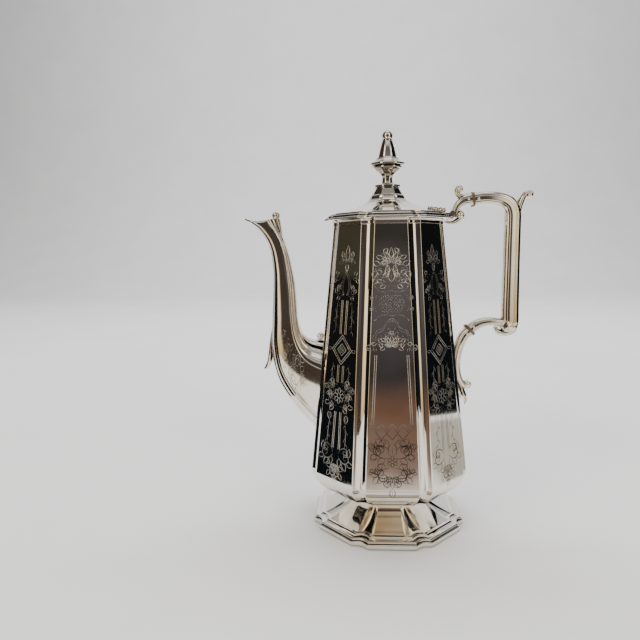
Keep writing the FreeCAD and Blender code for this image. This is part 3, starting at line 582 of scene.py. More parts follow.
# Swept pieces of spout and handle: name, replaced node, a roll or none, and lines by section. A roll is
# (x, z, radius, half length), and a point of a line is (x, z, half height, half depth), millimetres
SWEPT = [
    ("mouth_roll", "spout_scroll", (-81.8, 230.6, 2.9, 3.9), {"plain": [
        (-78.0, 215.0, 1.0, 3.4), (-79.6, 221.6, 1.7, 3.9), (-81.0, 226.6, 2.2, 4.1),
        (-81.8, 230.4, 2.0, 4.1)]}),
    ("front_leaf", "spout_leaf", None, {"plain": [
        (-93.1, 115.4, 1.3, 2.4), (-91.4, 117.4, 1.8, 3.8), (-89.6, 121.6, 2.0, 4.7),
        (-88.4, 129.0, 2.0, 5.0), (-87.2, 139.0, 1.7, 4.0), (-85.8, 149.0, 0.9, 1.2)]}),
    ("spout_knop", "spout_collar", (-50.2, 140.6, 2.6, 4.4), {"plain": [
        (-68.0, 149.0, 0.6, 2.6), (-64.4, 141.4, 1.2, 4.4), (-59.0, 136.8, 1.8, 6.4),
        (-52.6, 135.0, 2.4, 8.2), (-47.6, 134.4, 2.8, 9.0)]}),
    ("rim_bracket", "handle_upper_socket", (52.5, 228.6, 2.3, 4.6), {"reeded": [
        (49.2, 227.4, 2.4, 3.2), (49.3, 232.0, 2.6, 3.6), (51.2, 236.0, 3.0, 4.2), (55.2, 238.9, 3.8, 4.8),
        (60.6, 240.0, 4.6, 5.2)], "plain": [
        (42.0, 223.9, 0.9, 2.6), (46.4, 223.2, 1.7, 3.6), (50.4, 224.3, 2.2, 4.2), (53.4, 227.0, 2.1, 4.4),
        (54.2, 229.6, 1.7, 4.4), (53.0, 231.0, 1.3, 4.2), (51.6, 230.0, 0.9, 3.8)]}),
    ("thumb_curl", "thumb_scroll", (52.2, 247.1, 2.1, 3.2), {"plain": [
        (58.2, 243.0, 1.9, 3.2), (55.2, 242.4, 1.9, 3.1), (52.6, 242.4, 1.8, 3.0), (50.8, 243.8, 1.8, 2.9),
        (50.2, 246.2, 1.8, 2.9), (51.0, 248.4, 1.7, 2.8), (52.8, 248.5, 1.6, 2.7), (53.3, 246.8, 1.3, 2.5)]}),
    ("reeded_grip", "handle_grip", None, {"reeded": [
        (62.6, 240.0, 4.7, 5.2), (69.0, 240.6, 4.7, 5.2), (77.0, 240.2, 4.9, 5.2), (83.4, 238.6, 5.2, 5.2),
        (88.0, 235.4, 5.6, 5.2), (90.2, 230.0, 5.8, 5.2), (90.5, 222.5, 5.8, 5.2), (90.4, 205.0, 5.9, 5.2),
        (90.4, 185.0, 6.0, 5.2), (90.4, 165.0, 6.2, 5.2), (90.6, 152.0, 6.2, 5.2), (91.0, 147.4, 5.4, 5.0)]}),
    ("grip_volute", "handle_volute", (88.2, 147.4, 4.4, 5.3), {"plain": [
        (92.0, 151.0, 4.4, 4.8), (91.8, 145.8, 4.2, 4.8), (88.8, 142.9, 3.2, 4.6), (84.6, 142.2, 2.5, 4.4),
        (81.2, 143.6, 2.0, 4.0), (80.2, 146.2, 1.5, 3.6)]}),
    ("corner_spur", "spur_scroll", (102.0, 242.4, 1.8, 3.3), {"plain": [
        (94.4, 226.0, 1.4, 3.0), (94.8, 233.0, 2.0, 3.4), (96.0, 238.0, 2.3, 3.4), (98.2, 242.4, 2.0, 3.2),
        (100.6, 244.3, 1.7, 3.0), (102.8, 244.2, 1.5, 2.9), (103.6, 242.4, 1.2, 2.7),
        (102.4, 241.0, 0.9, 2.5)]}),
    ("curved_lower_arm", "handle_lower_arm", None, {"reeded": [
        (61.9, 145.2, 3.9, 5.0), (65.4, 148.0, 3.7, 4.9), (70.6, 150.1, 3.3, 4.8), (77.0, 150.8, 3.1, 4.8),
        (83.0, 150.1, 2.9, 4.8), (87.6, 148.8, 2.6, 4.6)]}),
    ("body_bracket", "handle_lower_socket", (60.0, 103.5, 2.1, 4.4), {"reeded": [
        (60.5, 143.8, 3.9, 5.0), (57.0, 140.0, 3.8, 4.9), (54.4, 134.6, 3.6, 4.8), (52.6, 128.0, 3.4, 4.6),
        (51.8, 120.0, 3.0, 4.4), (52.6, 112.4, 2.6, 4.2), (54.8, 106.2, 2.3, 4.0), (57.8, 102.2, 2.1, 3.9),
        (60.6, 101.7, 1.8, 3.8), (61.8, 103.6, 1.4, 3.7), (60.4, 105.2, 1.0, 3.6)]}),
    ("bracket_leaf", "lower_tail_leaf", None, {"leaf": [
        (52.4, 108.0, 1.0, 1.2), (54.6, 102.6, 1.7, 3.6), (57.2, 97.0, 1.9, 4.8), (58.9, 92.0, 1.6, 4.0),
        (58.9, 87.4, 0.7, 0.8)], "plain": [
        (50.6, 106.0, 1.2, 2.0), (52.8, 100.0, 2.2, 3.0), (54.6, 95.0, 2.0, 2.6), (53.4, 90.4, 0.8, 1.0)]}),
]
# Pin heads in the insulators' joints: x, z, half length of the pin, radius of its head
PIN_HEADS = [
    (65.1, 240.0, 4.9, 1.25), (58.1, 240.0, 4.6, 1.1), (63.7, 146.9, 4.7, 1.0), (58.8, 142.1, 4.7, 1.0),
]


def make_swept(silver):
    """Scrolls, leaves and collar of the spout, the handle with its brackets, and pin heads."""
    sections = {"reeded": reeded_section(), "plain": round_section(), "leaf": leaf_section()}
    for name, node, ending, lines in SWEPT:
        shapes = [sweep(line, sections[kind]) for kind, line in lines.items()]
        if ending:
            shapes.append(roll(*ending))
        add_piece(name, join(*shapes), silver, "pot", node)
    add_piece("pin_heads", join(*[rivet(*head) for head in PIN_HEADS]), silver, "pot")


# Stations of the spout from its root to its mouth: outer line, inner line, half width
SPOUT_STATIONS = [
    (-46.0, 62.0, -46.0, 131.0, 17.0), (-63.0, 79.5, -57.0, 134.0, 16.0), (-74.0, 93.5, -62.8, 139.5, 14.8),
    (-83.0, 110.0, -66.2, 150.0, 13.4), (-87.0, 130.0, -67.4, 164.0, 12.1),
    (-86.4, 151.0, -68.4, 178.5, 10.9), (-85.2, 172.0, -70.2, 190.0, 9.9), (-84.8, 192.0, -72.8, 202.0, 9.0),
    (-87.6, 208.5, -76.2, 212.5, 8.5), (-95.5, 220.8, -80.0, 221.0, 8.5), (-105.3, 228.4, -82.6, 228.4, 8.5),
]
# One side of the spout's front, from its middle to its widest: along and across as shares
SPOUT_HALF_SECTION = [
    (-1.0, 0.0), (-1.0, 0.32), (-0.975, 0.44), (-0.93, 0.53), (-0.88, 0.56), (-0.85, 0.58), (-0.82, 0.70),
    (-0.75, 0.82), (-0.67, 0.88), (-0.61, 0.89), (-0.57, 0.90), (-0.54, 0.95), (-0.25, 0.985), (0.0, 1.0),
]
SPOUT_WALL = 1.2
SPOUT_SINK = 0.6
LIP_DIP = 2.6
LIP_BEAD = 0.75
SPOUT_STEPS = 24


def spout_point(station, along, across, wall=0.0):
    """A point of the spout's section: along from front to back, across to one side."""
    front = Vector((station[0], station[1]))
    back = Vector((station[2], station[3]))
    middle = (front + back) / 2
    half = (back - front) / 2
    point = middle + half * along * (1 - wall / max(half.length, 2.0))
    return Vector((point.x, across * max(station[4] - wall, 1.0), point.y))


def against_body(point, sink):
    """Hold a point outside the wall behind the spout."""
    limit = -(body_apothem(point.z) - sink)
    return Vector((min(point.x, limit), point.y, point.z))


def make_spout(silver):
    """Spout with the bead on its lip; the upper half of its channel is open."""
    half = SPOUT_HALF_SECTION + [(-along, across) for along, across in SPOUT_HALF_SECTION[-2::-1]]
    section = half + [(along, -across) for along, across in half[-2:0:-1]]
    line = curve(SPOUT_STATIONS, SPOUT_STEPS)
    lip_start = len(line) - SPOUT_STEPS

    def mouth(point, count, along):
        """Let the lip dip between its tip and its back."""
        dip = max(0.0, (count - lip_start + 1) / SPOUT_STEPS) * LIP_DIP
        return point - Vector((0, 0, dip * (1 - along * along)))

    rings = []
    for count, station in enumerate(line):
        rings.append([mouth(against_body(spout_point(station, along, across), SPOUT_SINK), count, along)
                      for along, across in section])
    edge = rings[-1]
    wall = SPOUT_WALL * 0.6
    for count, station in reversed(list(enumerate(line))[len(line) // 2:]):
        rings.append([mouth(spout_point(station, along * 0.96, across * 0.96, wall), count, along)
                      for along, across in section])
    middle = sum(edge, Vector()) / len(edge)
    bead = []
    for count, point in enumerate(edge):
        ahead = (edge[(count + 1) % len(edge)] - edge[count - 1]).normalized()
        inward = (middle - point).normalized()
        side = ahead.cross(inward).normalized()
        centre = point + inward * LIP_BEAD * 0.8
        bead.append([centre + (inward * across + side * along) * LIP_BEAD
                     for across, along in round_section(12)])
    lip = stitch(bead + bead[:1], cap_start=False, cap_end=False)
    add_piece("swan_spout", join(stitch(rings), lip), silver, "pot", "spout", sharp=SPOUT_SHARP_ANGLE)


# Engraved threads: how far they stand proud and reach below the surface, and widths of strokes, millimetres
THREAD_PROUD = 0.09
THREAD_SINK = 0.03
SCROLL_WIDTH = 0.75
LINE_WIDTH = 0.55
RIB_WIDTH = 0.4
LAUREL_WIDTH = 0.9
RING_WIDTH = 0.46
HATCH_WIDTH = 0.18
SCROLL_STEPS = 26


def ways(heading):
    """Ahead and to the left, for a heading in degrees."""
    turn = math.radians(heading)
    ahead = Vector((math.cos(turn), math.sin(turn)))
    return ahead, Vector((-ahead.y, ahead.x))


class Engraver:
    """Collects engraved lines as fine raised threads on a surface given by (across, up)."""

    def __init__(self, surface):
        self.surface = surface
        self.shapes = []

    def stroke(self, points, width, mirror=True, blunt=False):
        """A thread through points, thin at both ends unless blunt, with its mirror image."""
        for side in ((1, -1) if mirror else (1,)):
            line = [Vector((across * side, up)) for across, up in points]
            rings = []
            for count, (point, ahead) in enumerate(zip(line, directions(line))):
                share = count / (len(line) - 1)
                swell = 1.0 if blunt else 0.25 + 0.75 * math.sin(math.pi * share) ** 0.7
                away = Vector((-ahead.y, ahead.x)) * width / 2 * swell
                rings.append([self.surface(point + away, -THREAD_SINK),
                              self.surface(point, THREAD_PROUD * swell),
                              self.surface(point - away, -THREAD_SINK)])
            self.shapes.append(stitch(rings))

    def line(self, *points):
        """A blunt line with straight runs."""
        dense = []
        for start, end in zip(points, points[1:]):
            dense += [Vector(start).lerp(Vector(end), step / 4) for step in range(4)]
        self.stroke(dense + [points[-1]], LINE_WIDTH, blunt=True)

    def arc(self, points):
        self.stroke(curve(points, 6), SCROLL_WIDTH)

    def scrolls(self, *rows):
        for row in rows:
            self.scroll(*row)

    def scroll(self, x, y, heading, length, turns, leaves=0, width=SCROLL_WIDTH):
        """A stem that winds up into a volute; heading in degrees, turns positive to the left."""
        points = [Vector((x, y))]
        for step in range(SCROLL_STEPS):
            share = (step + 0.5) / SCROLL_STEPS
            turn = math.radians(heading) + turns * 2 * math.pi * share ** 1.9
            points.append(points[-1] + Vector((math.cos(turn), math.sin(turn))) * length / SCROLL_STEPS)
        self.stroke(points, width)
        for count in range(leaves):
            share = (count + 0.8) / (leaves + 0.6)
            place = int(share * SCROLL_STEPS * 0.75)
            turn = math.degrees(math.atan2(*reversed(points[place + 1] - points[place])))
            side = -1 if turns > 0 else 1
            self.leaf(*points[place], turn + side * 48, length * 0.24, 0.3, rib=False)

    def leaf(self, x, y, heading, length, fat=0.26, mirror=True, rib=True):
        """The outline of a pointed leaf, with a rib in a long one."""
        ahead, away = ways(heading)
        start = Vector((x, y))
        for side in (-1, 1):
            points = []
            for step in range(8):
                share = step / 7
                bulge = math.sin(math.pi * share ** 0.8) * length * fat * side
                points.append(start + ahead * length * share + away * bulge)
            self.stroke(points, LINE_WIDTH, mirror)
        if rib and length > 5:
            self.stroke([start + ahead * length * share for share in (0.05, 0.4, 0.75)], RIB_WIDTH, mirror)

    def bud(self, y, heading, length, fat):
        """A single leaf on the middle line."""
        self.leaf(0, y, heading, length, fat, mirror=False)

    def spray(self, x, y, heading, length, count, bow):
        """A stem with alternate laurel leaves."""
        ahead, away = ways(heading)
        stem = [Vector((x, y)) + ahead * length * step / 10 + away * bow * math.sin(math.pi * step / 10)
                for step in range(11)]
        self.stroke(stem, RIB_WIDTH)
        for number in range(count):
            place = stem[min(int(10 * (number + 0.4) / count), 10)]
            side = 1 if number % 2 else -1
            self.stroke([place, place + ahead * 1.6 + away * side * 1.5,
                         place + ahead * 3.4 + away * side * 1.9], LAUREL_WIDTH)

    def rosette(self, y, radius, petals=6):
        """Petals round a small ring on the middle line."""
        eye = radius * 0.28
        turns = [2 * math.pi * step / 16 for step in range(17)]
        ring = [(eye * math.cos(turn), y + eye * math.sin(turn)) for turn in turns]
        self.stroke(ring, RING_WIDTH, mirror=False, blunt=True)
        for petal in range(petals):
            heading = 90 + 360 * petal / petals
            turn = math.radians(heading)
            self.leaf(radius * 0.3 * math.cos(turn), y + radius * 0.3 * math.sin(turn), heading,
                      radius * 0.72, 0.34, mirror=False, rib=False)

    def palmette(self, y, size, heading=90, petals=4, spread=24):
        """A fan of petals about the middle line."""
        self.bud(y, heading, size, 0.16)
        for petal in range(1, petals):
            way = 1 if heading > 0 else -1
            self.leaf(0.3, y, heading - way * spread * petal, size * (1 - 0.13 * petal), 0.17)

    def hatch(self, y, wide, high, pitch, shape):
        """Crossed fine lines about the middle line, where shape(across, up) is true."""
        for slant in (1, -1):
            count = int((wide + high) / pitch)
            for number in range(-count, count + 1):
                run = []
                for step in range(25):
                    across = -wide + 2 * wide * step / 24
                    up = (across - number * pitch) * slant * 1.25
                    if abs(up) < high and shape(across, up):
                        run.append((across, y + up))
                    elif len(run) > 1:
                        break
                    else:
                        run = []
                if len(run) > 2:
                    self.stroke(run, HATCH_WIDTH, mirror=False, blunt=True)


def panel_surface(panel):
    """Places (across, up) on one flat of the body."""
    turn = math.radians(45 * panel)
    ahead = Vector((math.cos(turn), math.sin(turn), 0))
    along = Vector((-math.sin(turn), math.cos(turn), 0))

    def place(point, lift):
        return ahead * (body_apothem(point.y) + lift) + along * point.x + Vector((0, 0, point.y))

    return place


def engrave_arch_panel(pen):
    """Crest, diaper, strapwork arch, bordered reserve and acanthus: the panels that face front and back."""
    # Crest
    pen.palmette(196, 10, spread=30)
    pen.scrolls((0.8, 196, 5, 18, 1.25, 3), (1.2, 191, 45, 22, -1.2, 3), (1.0, 184, 55, 20, -1.15, 3),
                (1.4, 180, 10, 17, 1.2, 3))
    pen.leaf(3.2, 187.5, 100, 7.0, 0.2)
    pen.bud(183, 90, 9.0, 0.24)
    # Foliage between two curved bands
    pen.arc([(0, 177.2), (4.5, 176.2), (8.6, 177.4), (11.2, 180.4)])
    pen.arc([(0, 160.6), (4.5, 161.2), (8.4, 160.2), (11.6, 157.2)])
    pen.hatch(168.6, 9.4, 6.6, 1.9, lambda across, up: abs(across) < 8.8 - 0.05 * up * up)
    pen.scrolls((10.0, 174.0, -70, 10, 1.1), (10.2, 163.5, 70, 10, -1.1))
    # Lobed arch
    for out in (0.0, 1.5):
        pen.arc([(0, 159.0 - out), (3.6, 156.4 - out), (5.8, 152.4 - out), (9.8 - out * 0.4, 150.6 - out),
                 (12.2 - out, 146.6), (12.6 - out, 141.0), (11.6 - out, 137.0)])
    pen.scrolls((2.6, 152.6, -130, 13, 1.2, 2), (7.4, 147.6, -110, 15, 1.15, 3), (11.4, 138.6, -30, 14, 1.3))
    pen.palmette(140.0, 8.0)
    pen.scroll(1.2, 139.6, -10, 15, 1.15, 2)
    # Bordered plain reserve
    for place in (10.0, 11.3):
        pen.line((place, 134.4), (place + 2.4, 88.0))
    # Chevron strapwork
    for drop in (0.0, 2.0):
        pen.line((15.0, 89.0 - drop), (10.8, 84.4 - drop), (7.2, 88.4 - drop), (3.6, 84.4 - drop),
                 (0, 88.4 - drop))
    pen.line((3.6, 82.0), (0, 77.6))
    pen.line((10.8, 82.0), (7.2, 78.0), (3.6, 82.0))
    # Acanthus cluster and pendant
    pen.bud(66.0, 90, 10.0, 0.3)
    pen.rosette(63.0, 4.0)
    pen.scrolls((1.6, 70.0, 45, 26, -1.15, 4, 0.8), (2.4, 65.0, 0, 26, 1.2, 4, 0.8),
                (1.6, 59.0, -10, 26, -1.2, 4, 0.8), (1.2, 54.0, -35, 22, 1.25, 4, 0.8),
                (11.0, 77.0, -60, 13, -1.2, 2), (11.6, 60.0, -100, 12, 1.2, 2))
    pen.leaf(6.4, 71.0, 20, 6.0)
    pen.leaf(8.6, 58.0, -60, 6.0)
    pen.leaf(5.2, 50.2, -110, 5.4)
    pen.palmette(52.5, 8.0, -90)
    pen.bud(44.6, -90, 7.2, 0.26)


def engrave_lozenge_panel(pen, top_only=False):
    """Spear, pointed frame, interlaced lozenge, sprays and long lines: the panels at the diagonals."""
    # Spear
    pen.bud(197, 90, 11, 0.17)
    pen.leaf(0.8, 196, 45, 6.4, 0.24)
    pen.scroll(0.9, 194.5, 15, 16, 1.2, 2)
    pen.bud(195, -90, 5.5, 0.26)
    # Pointed frame
    for inner in (0.0, 1.4):
        pen.arc([(0, 191.0 - inner * 1.6), (3.6 - inner, 184.0), (4.2 - inner, 179.0),
                 (2.2 - inner * 0.6, 173.4)])
    pen.scrolls((4.2, 187.0, 20, 15, -1.25, 2), (2.4, 173.6, -30, 15, 1.3, 2))
    pen.leaf(5.4, 181.0, -60, 5.4)
    # Long centre lines with laurel either side
    for place in (1.7, 3.0):
        pen.line((place, 170.0), (place, 146.4))
    pen.spray(6.8, 169.0, -88, 22, 6, 0.5)
    if top_only:
        pen.scroll(1.0, 143.0, -40, 14, 1.3, 2)
        pen.palmette(142.5, 7.0, -90, 3)
        return
    # Interlaced lozenge
    for out in (0.0, 1.8):
        pen.line((0, 146.0 - out * 1.1), (9.6 - out * 1.1, 135.6), (0, 125.2 + out * 1.1))
    pen.line((0, 139.8), (4.2, 135.6), (0, 131.4))
    pen.hatch(135.6, 2.8, 3.0, 1.2, lambda across, up: abs(across) + abs(up) < 2.9)
    pen.leaf(9.8, 135.6, 0, 3.6, rib=False)
    # Bands and sprays
    for place in (1.7, 3.0):
        pen.line((place, 124.8), (place, 112.6))
    pen.spray(7.4, 126.0, -86, 14, 4, 0.5)
    # Rosette cluster
    pen.rosette(103.5, 5.6, 8)
    pen.scrolls((1.8, 111.0, 10, 22, -1.2, 3), (5.4, 104.0, 10, 20, 1.25, 3), (1.8, 96.5, -15, 22, 1.2, 3))
    pen.leaf(5.4, 108.5, 60, 5.2)
    pen.leaf(5.6, 98.4, -55, 5.2)
    # Long lines with leaves either side
    for place in (1.8, 3.2):
        pen.line((place, 92.0), (place + 0.8, 66.0))
    pen.leaf(8.6, 91.0, -95, 6.0, 0.3)
    pen.spray(7.6, 86.0, -86, 18, 4, 0.6)
    # Volutes and tail
    pen.scrolls((2.6, 63.0, 60, 26, -1.45, 0, 0.9), (2.2, 62.0, -50, 26, 1.2, 4, 0.8),
                (1.4, 55.0, -40, 20, -1.2, 3, 0.8))
    pen.palmette(55.0, 9.0, -90, 3)
    pen.bud(46.0, -90, 6.4, 0.26)


def spout_surface(side):
    """Places (across, along) on one side of the spout, in millimetres from its root."""
    line = curve(SPOUT_STATIONS, 8)
    middles = [Vector((station[0] + station[2], station[1] + station[3])) / 2 for station in line]
    reach = [0.0]
    for before, after in zip(middles, middles[1:]):
        reach.append(reach[-1] + (after - before).length)

    def place(point, lift):
        last = len(line) - 2
        count = next((number for number in range(last) if reach[number + 1] > point.y), last)
        share = (point.y - reach[count]) / (reach[count + 1] - reach[count])
        station = line[count] + (line[count + 1] - line[count]) * share
        half = Vector((station[2] - station[0], station[3] - station[1])).length / 2
        along = max(-0.54, min(0.54, point.x / half))
        across = 1 - 0.06 * abs(along) if abs(along) < 0.25 else 1.015 - 0.12 * abs(along)
        spot = spout_point(station, along, across)
        return Vector((spot.x, side * (spot.y + lift), spot.z))

    return place


def engrave_spout(pen):
    """Scrollwork up one side of the spout."""
    pen.palmette(24, 8, -90)
    pen.scrolls((1.0, 25, 0, 24, 1.2, 3), (1.0, 30, 40, 26, -1.2, 3))
    pen.rosette(34, 3.6)
    pen.scroll(0.8, 40, 20, 20, 1.2, 2)
    pen.palmette(44, 8)
    pen.bud(54, 90, 9, 0.2)
    pen.scroll(0.8, 55, 30, 11, 1.1)


def engrave_piece(name, surface, material, draw, **options):
    """One engraved piece, drawn on a surface of the pot."""
    pen = Engraver(surface)
    draw(pen, **options)
    add_piece("engraving_" + name, join(*pen.shapes), material, "pot")


def engrave(light_cut, darker_cut, darkest_cut):
    """The engraving of the eight panels and of both sides of the spout, in three finishes."""
    for name, panel in (("front", 6), ("back", 2)):
        engrave_piece(name, panel_surface(panel), darker_cut, engrave_arch_panel)
    for name, panel, material in (("front_left", 5, light_cut), ("front_right", 7, darkest_cut),
                                  ("back_left", 3, darker_cut), ("back_right", 1, darker_cut)):
        engrave_piece(name, panel_surface(panel), material, engrave_lozenge_panel)
    for name, panel in (("spout_side", 4), ("handle_side", 0)):
        engrave_piece(name, panel_surface(panel), light_cut, engrave_lozenge_panel, top_only=True)
    for name, side in (("spout_front", -1), ("spout_back", 1)):
        engrave_piece(name, spout_surface(side), darker_cut, engrave_spout)


# Floor of the studio, metres: half widths near the pot and far behind, and where it starts, widens and ends
FLOOR_NEAR_HALF = 0.72
FLOOR_FAR_HALF = 4.5
FLOOR_FRONT = -0.62
FLOOR_WIDENS = 0.25
FLOOR_BACK = 3.4
WALL_HEIGHT = 3.2
WALL_RADIUS = 1.2
WALL_STEPS = 24
BACKGROUND = (0.62, 0.63, 0.65)
CARD_LIFT = 0.0006


def add_stage():
    """A pale floor that widens away from the camera and curves up into a far backdrop."""
    turns_up = FLOOR_BACK - WALL_RADIUS
    line = [(FLOOR_FRONT, 0.0, FLOOR_NEAR_HALF), (FLOOR_WIDENS, 0.0, FLOOR_NEAR_HALF),
            (turns_up, 0.0, FLOOR_FAR_HALF)]
    for step in range(1, WALL_STEPS + 1):
        turn = math.pi / 2 * step / WALL_STEPS
        line.append((turns_up + WALL_RADIUS * math.sin(turn), WALL_RADIUS * (1 - math.cos(turn)),
                     FLOOR_FAR_HALF))
    line.append((FLOOR_BACK, WALL_HEIGHT, FLOOR_FAR_HALF))
    points = [(side * half, y, z) for y, z, half in line for side in (-1, 1)]
    faces = [(2 * n, 2 * n + 1, 2 * n + 3, 2 * n + 2) for n in range(len(line) - 1)]
    mesh = bpy.data.meshes.new("floor")
    mesh.from_pydata(points, [], faces)
    mesh.shade_smooth()
    floor = add_object("floor", mesh)
    material, tree, place = new_material("pale_floor")
    greys = [(0.3, (0.775, 0.785, 0.805)), (0.7, (0.815, 0.825, 0.84))]
    tree.principled({"Base Color": tree.ramp(tree.noise(place, 6.0, 4.0), greys), "Roughness": 0.75})
    mesh.materials.append(material)


def add_card(name, corners, stops, fade, foot_fade):
    """A studio card that only reflections see: its colours go from its first edge to the opposite one.

    It fades out over a share of its width at its sides and far edge, and over another at its first edge.
    """
    mesh = bpy.data.meshes.new(name)
    mesh.from_pydata(corners, [], [(0, 1, 2, 3)])
    layer = mesh.uv_layers.new(name="card")
    for loop, place in zip(layer.data, ((0, 0), (1, 0), (1, 1), (0, 1))):
        loop.uv = place
    card = add_object(name, mesh)
    for view in ("camera", "diffuse", "shadow", "transmission", "volume_scatter"):
        setattr(card, "visible_" + view, False)
    material, tree, place = new_material(name)
    sides = tree.axes(tree.add("ShaderNodeTexCoord").outputs["UV"])
    waver = tree.range(tree.noise(place, 16.0, 2.0), 0.2, 0.8, -0.025, 0.025)
    level = tree.math("ADD", sides["Y"], waver)
    glow = tree.add("ShaderNodeEmission", {"Color": tree.ramp(level, stops), "Strength": 1.0})
    solid = tree.math("MULTIPLY", tree.range(sides["X"], 0.0, fade), tree.range(sides["X"], 1.0, 1.0 - fade))
    solid = tree.math("MULTIPLY", solid, tree.range(sides["Y"], 1.0, 1.0 - fade))
    if foot_fade:
        solid = tree.math("MULTIPLY", solid, tree.range(sides["Y"], 0.0, foot_fade))
    clear = tree.add("ShaderNodeBsdfTransparent")
    blend = tree.add("ShaderNodeMixShader", {0: solid, 1: clear.outputs["BSDF"], 2: glow.outputs["Emission"]})
    tree.add("ShaderNodeOutputMaterial", {"Surface": blend.outputs["Shader"]})
    mesh.materials.append(material)


def standing(start, end, low, high):
    """Corners of an upright card over a line on the floor."""
    return [(*start, low), (*end, low), (*end, high), (*start, high)]


def lying(*corners):
    """Corners of a card just above the floor, near edge first."""
    return [(x, y, CARD_LIFT) for x, y in corners]


def add_light(name, place, aim, power, wide, tall, colour):
    """A soft rectangular light that reflections don't see."""
    data = bpy.data.lights.new(name, "AREA")
    data.shape = "RECTANGLE"
    data.size = wide
    data.size_y = tall
    data.energy = power
    data.color = colour
    light = add_object(name, data)
    light.visible_glossy = False
    light.location = place
    light.rotation_euler = (Vector(aim) - Vector(place)).to_track_quat("-Z", "Y").to_euler()


def add_world():
    """A dim room for reflections: dark at the sides, brown in front, pale behind, high in front and overhead.

    The camera itself sees a plain pale grey past the floor.
    """
    world = bpy.data.worlds.new("studio")
    bpy.context.scene.world = world
    world.use_nodes = True
    tree = Nodes(world.node_tree)
    ways = tree.axes(tree.add("ShaderNodeTexCoord").outputs["Generated"])
    room = tree.mix(tree.range(ways["Y"], -0.55, -0.9), (0.012, 0.012, 0.014), (0.06, 0.048, 0.042))
    high_front = tree.math("MULTIPLY", tree.range(ways["Y"], -0.22, -0.45),
                           tree.range(ways["Z"], 0.28, 0.5))
    room = tree.mix(high_front, room, (0.62, 0.58, 0.51))
    room = tree.mix(tree.range(ways["Y"], 0.25, 0.6), room, (0.75, 0.76, 0.78))
    room = tree.mix(tree.range(ways["Z"], 0.60, 0.90), room, (0.30, 0.295, 0.29))
    seen = tree.add("ShaderNodeLightPath").outputs["Is Camera Ray"]
    colour = tree.mix(seen, room, BACKGROUND)
    sky = tree.add("ShaderNodeBackground", {"Color": colour, "Strength": 1.0})
    tree.add("ShaderNodeOutputWorld", {"Surface": sky.outputs["Background"]})


# Lights: name, place and aim in metres, power in watts, width, height and colour
AIM = (0, 0, 0.12)
LIGHTS = [
    ("left_window", (-1.15, -1.05, 0.75), AIM, 16, 0.6, 1.3, (1.0, 0.91, 0.77)),
    ("right_window", (1.1, -1.15, 0.75), AIM, 11, 0.55, 1.3, (1.0, 0.89, 0.73)),
    ("ceiling", (0.1, 0.35, 2.2), AIM, 46, 2.2, 1.6, (1, 1, 1)),
    ("backdrop", (0.0, 0.9, 2.6), (0, 3.2, 0.7), 95, 3.0, 0.8, (1, 1, 1)),
]

# Colours of the cards: places from a card's first edge to the opposite one
BLACK = [(0.0, (0.004, 0.006, 0.008)), (1.0, (0.010, 0.010, 0.010))]
GLARE = [(0.0, (0.45, 0.47, 0.5)), (1.0, (0.6, 0.63, 0.66))]
WOOD = [(0.0, (0.05, 0.05, 0.035)), (0.5, (0.06, 0.035, 0.028)), (1.0, (0.02, 0.018, 0.014))]
ROOM = [(0.0, (0.90, 0.85, 0.78)), (0.042, (0.62, 0.54, 0.48)), (0.075, (0.27, 0.20, 0.172)),
        (0.17, (0.18, 0.10, 0.068)), (0.29, (0.045, 0.04, 0.043)), (0.45, (0.095, 0.085, 0.088)),
        (0.60, (0.115, 0.10, 0.10)), (0.78, (0.04, 0.038, 0.036))]
CREAM = [(0.0, (0.40, 0.29, 0.17)), (0.3, (0.85, 0.71, 0.49)), (0.7, (1.35, 1.24, 1.0)),
         (1.0, (1.5, 1.45, 1.35))]
BRIGHT = [(place, tuple(2.2 * part for part in colour)) for place, colour in CREAM]
TAN = [(0.0, (0.24, 0.165, 0.095)), (0.5, (0.20, 0.13, 0.075)), (1.0, (0.42, 0.33, 0.22))]
SHEET = [(0.0, (0.72, 0.67, 0.58)), (1.0, (0.70, 0.67, 0.61))]
SOFT_SHEET = [(0.0, (0.50, 0.46, 0.39)), (1.0, (0.58, 0.56, 0.51))]
OVERHEAD = [(0.0, (1.5, 1.5, 1.5)), (1.0, (1.2, 1.18, 1.14))]
FOOT_GLOW = [(0.0, (0.07, 0.05, 0.042)), (0.30, (0.09, 0.06, 0.05)), (0.40, (0.66, 0.58, 0.46)),
             (0.60, (0.52, 0.44, 0.33)), (0.68, (0.22, 0.18, 0.15)), (0.76, (0.60, 0.50, 0.37)),
             (1.0, (0.46, 0.37, 0.26))]
PALE = [(0.0, (0.40, 0.37, 0.34)), (0.37, (0.10, 0.095, 0.10)), (0.43, (0.72, 0.70, 0.67)),
        (1.0, (0.82, 0.80, 0.77))]

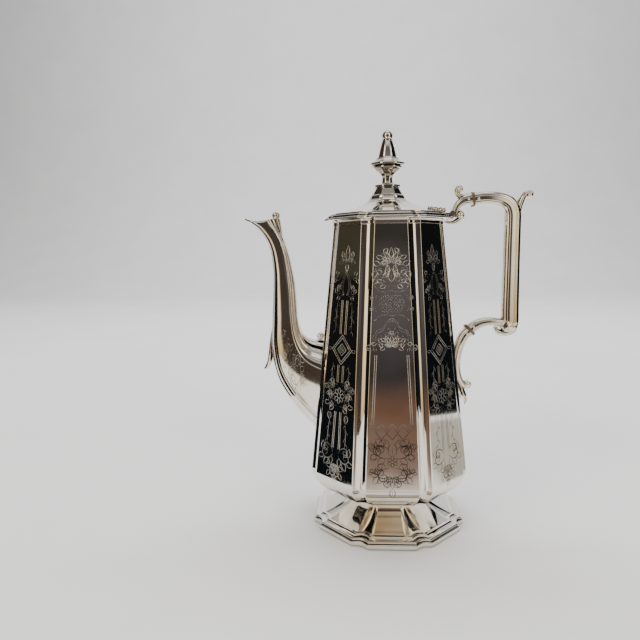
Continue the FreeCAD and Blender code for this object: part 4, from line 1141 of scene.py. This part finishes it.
# Cards, placed for the photograph's viewpoint: name, corners in metres, colours, fade, fade at the first edge
CARDS = [
    ("left_card", standing((-0.185, -0.122), (-0.185, 0.04), 0.0, 0.208), BLACK, 0.06, 0.0),
    ("left_glare", standing((-0.184, -0.015), (-0.184, 0.04), 0.198, 0.214), GLARE, 0.4, 0.3),
    ("left_wood", standing((-0.187, -0.16), (-0.187, 0.08), 0.20, 0.50), WOOD, 0.1, 0.0),
    ("right_card", standing((0.54, -0.09), (0.54, 0.42), 0.0, 0.75), BLACK, 0.06, 0.0),
    ("front_card", [(-0.035, -0.205, 0.0), (0.085, -0.2, 0.0), (0.17, -0.55, 0.40), (-0.02, -0.55, 0.40)],
     ROOM, 0.1, 0.0),
    ("front_high", standing((-0.25, -0.75), (0.40, -0.75), 0.55, 1.5), PALE, 0.2, 0.2),
    ("overhead", [(-0.6, 0.9, 2.0), (0.8, 0.9, 2.0), (0.8, -0.8, 2.0), (-0.6, -0.8, 2.0)],
     OVERHEAD, 0.2, 0.2),
    ("grip_glow", standing((0.125, -0.215), (0.185, -0.2), 0.03, 0.32), CREAM, 0.3, 0.1),
    ("left_cream", standing((-0.82, -0.335), (-0.42, -0.795), 0.0, 1.2), BRIGHT, 0.2, 0.0),
    ("right_cream", standing((0.46, -0.74), (0.72, -0.50), 0.0, 1.2), BRIGHT, 0.2, 0.0),
    ("foot_glow", standing((-0.042, -0.067), (0.042, -0.067), 0.011, 0.030), FOOT_GLOW, 0.15, 0.08),
    ("left_tan", lying((-0.045, -0.075), (-0.075, -0.045), (-0.26, -0.20), (-0.20, -0.26)), TAN, 0.5, 0.3),
    ("right_tan", lying((0.075, -0.045), (0.045, -0.075), (0.20, -0.26), (0.26, -0.20)), TAN, 0.5, 0.3),
    ("front_sheet", lying((-0.05, -0.075), (0.05, -0.075), (0.05, -0.20), (-0.04, -0.20)), SHEET, 0.3, 0.5),
    ("right_sheet", lying((0.075, -0.04), (0.075, 0.05), (0.52, 0.22), (0.52, -0.06)), SOFT_SHEET, 0.1, 0.3),
]

add_camera()
add_stage()
add_world()
for light in LIGHTS:
    add_light(*light)
for card in CARDS:
    add_card(*card)

CUT_ROUGHNESS = 0.32
CUT_TARNISH = (0.75, 0.72, 0.66)
silver = silver_material("polished_silver", (0.93, 0.895, 0.835), 0.05, (0.93, 0.89, 0.82))
cast = silver_material("cast_silver", (0.92, 0.875, 0.80), 0.08, (0.90, 0.85, 0.75), 0.08)
# Engraved finishes in three tints, each darker than the last; the two darker ones also carry painted shade
# low on the pot.
cut = silver_material("engraved_silver", (0.62, 0.605, 0.58), CUT_ROUGHNESS, CUT_TARNISH)
cut_low = silver_material("darker_engraving_shaded_low", (0.56, 0.545, 0.525), CUT_ROUGHNESS, CUT_TARNISH, low_painted_shade=True)
darkest_cut = silver_material("darkest_engraving_shaded_low", (0.40, 0.39, 0.375), CUT_ROUGHNESS, CUT_TARNISH, low_painted_shade=True)
ivory = ivory_material()
for name, node in nodes.items():
    finish = ivory if name in ("upper_insulator", "lower_insulator") else cast
    node.data.materials.clear()
    node.data.materials.append(finish)

make_vessel(silver)
make_strainer(dark_material())
make_lid(silver, cast)
make_spout(cast)
make_swept(cast)
engrave(cut, cut_low, darkest_cut)
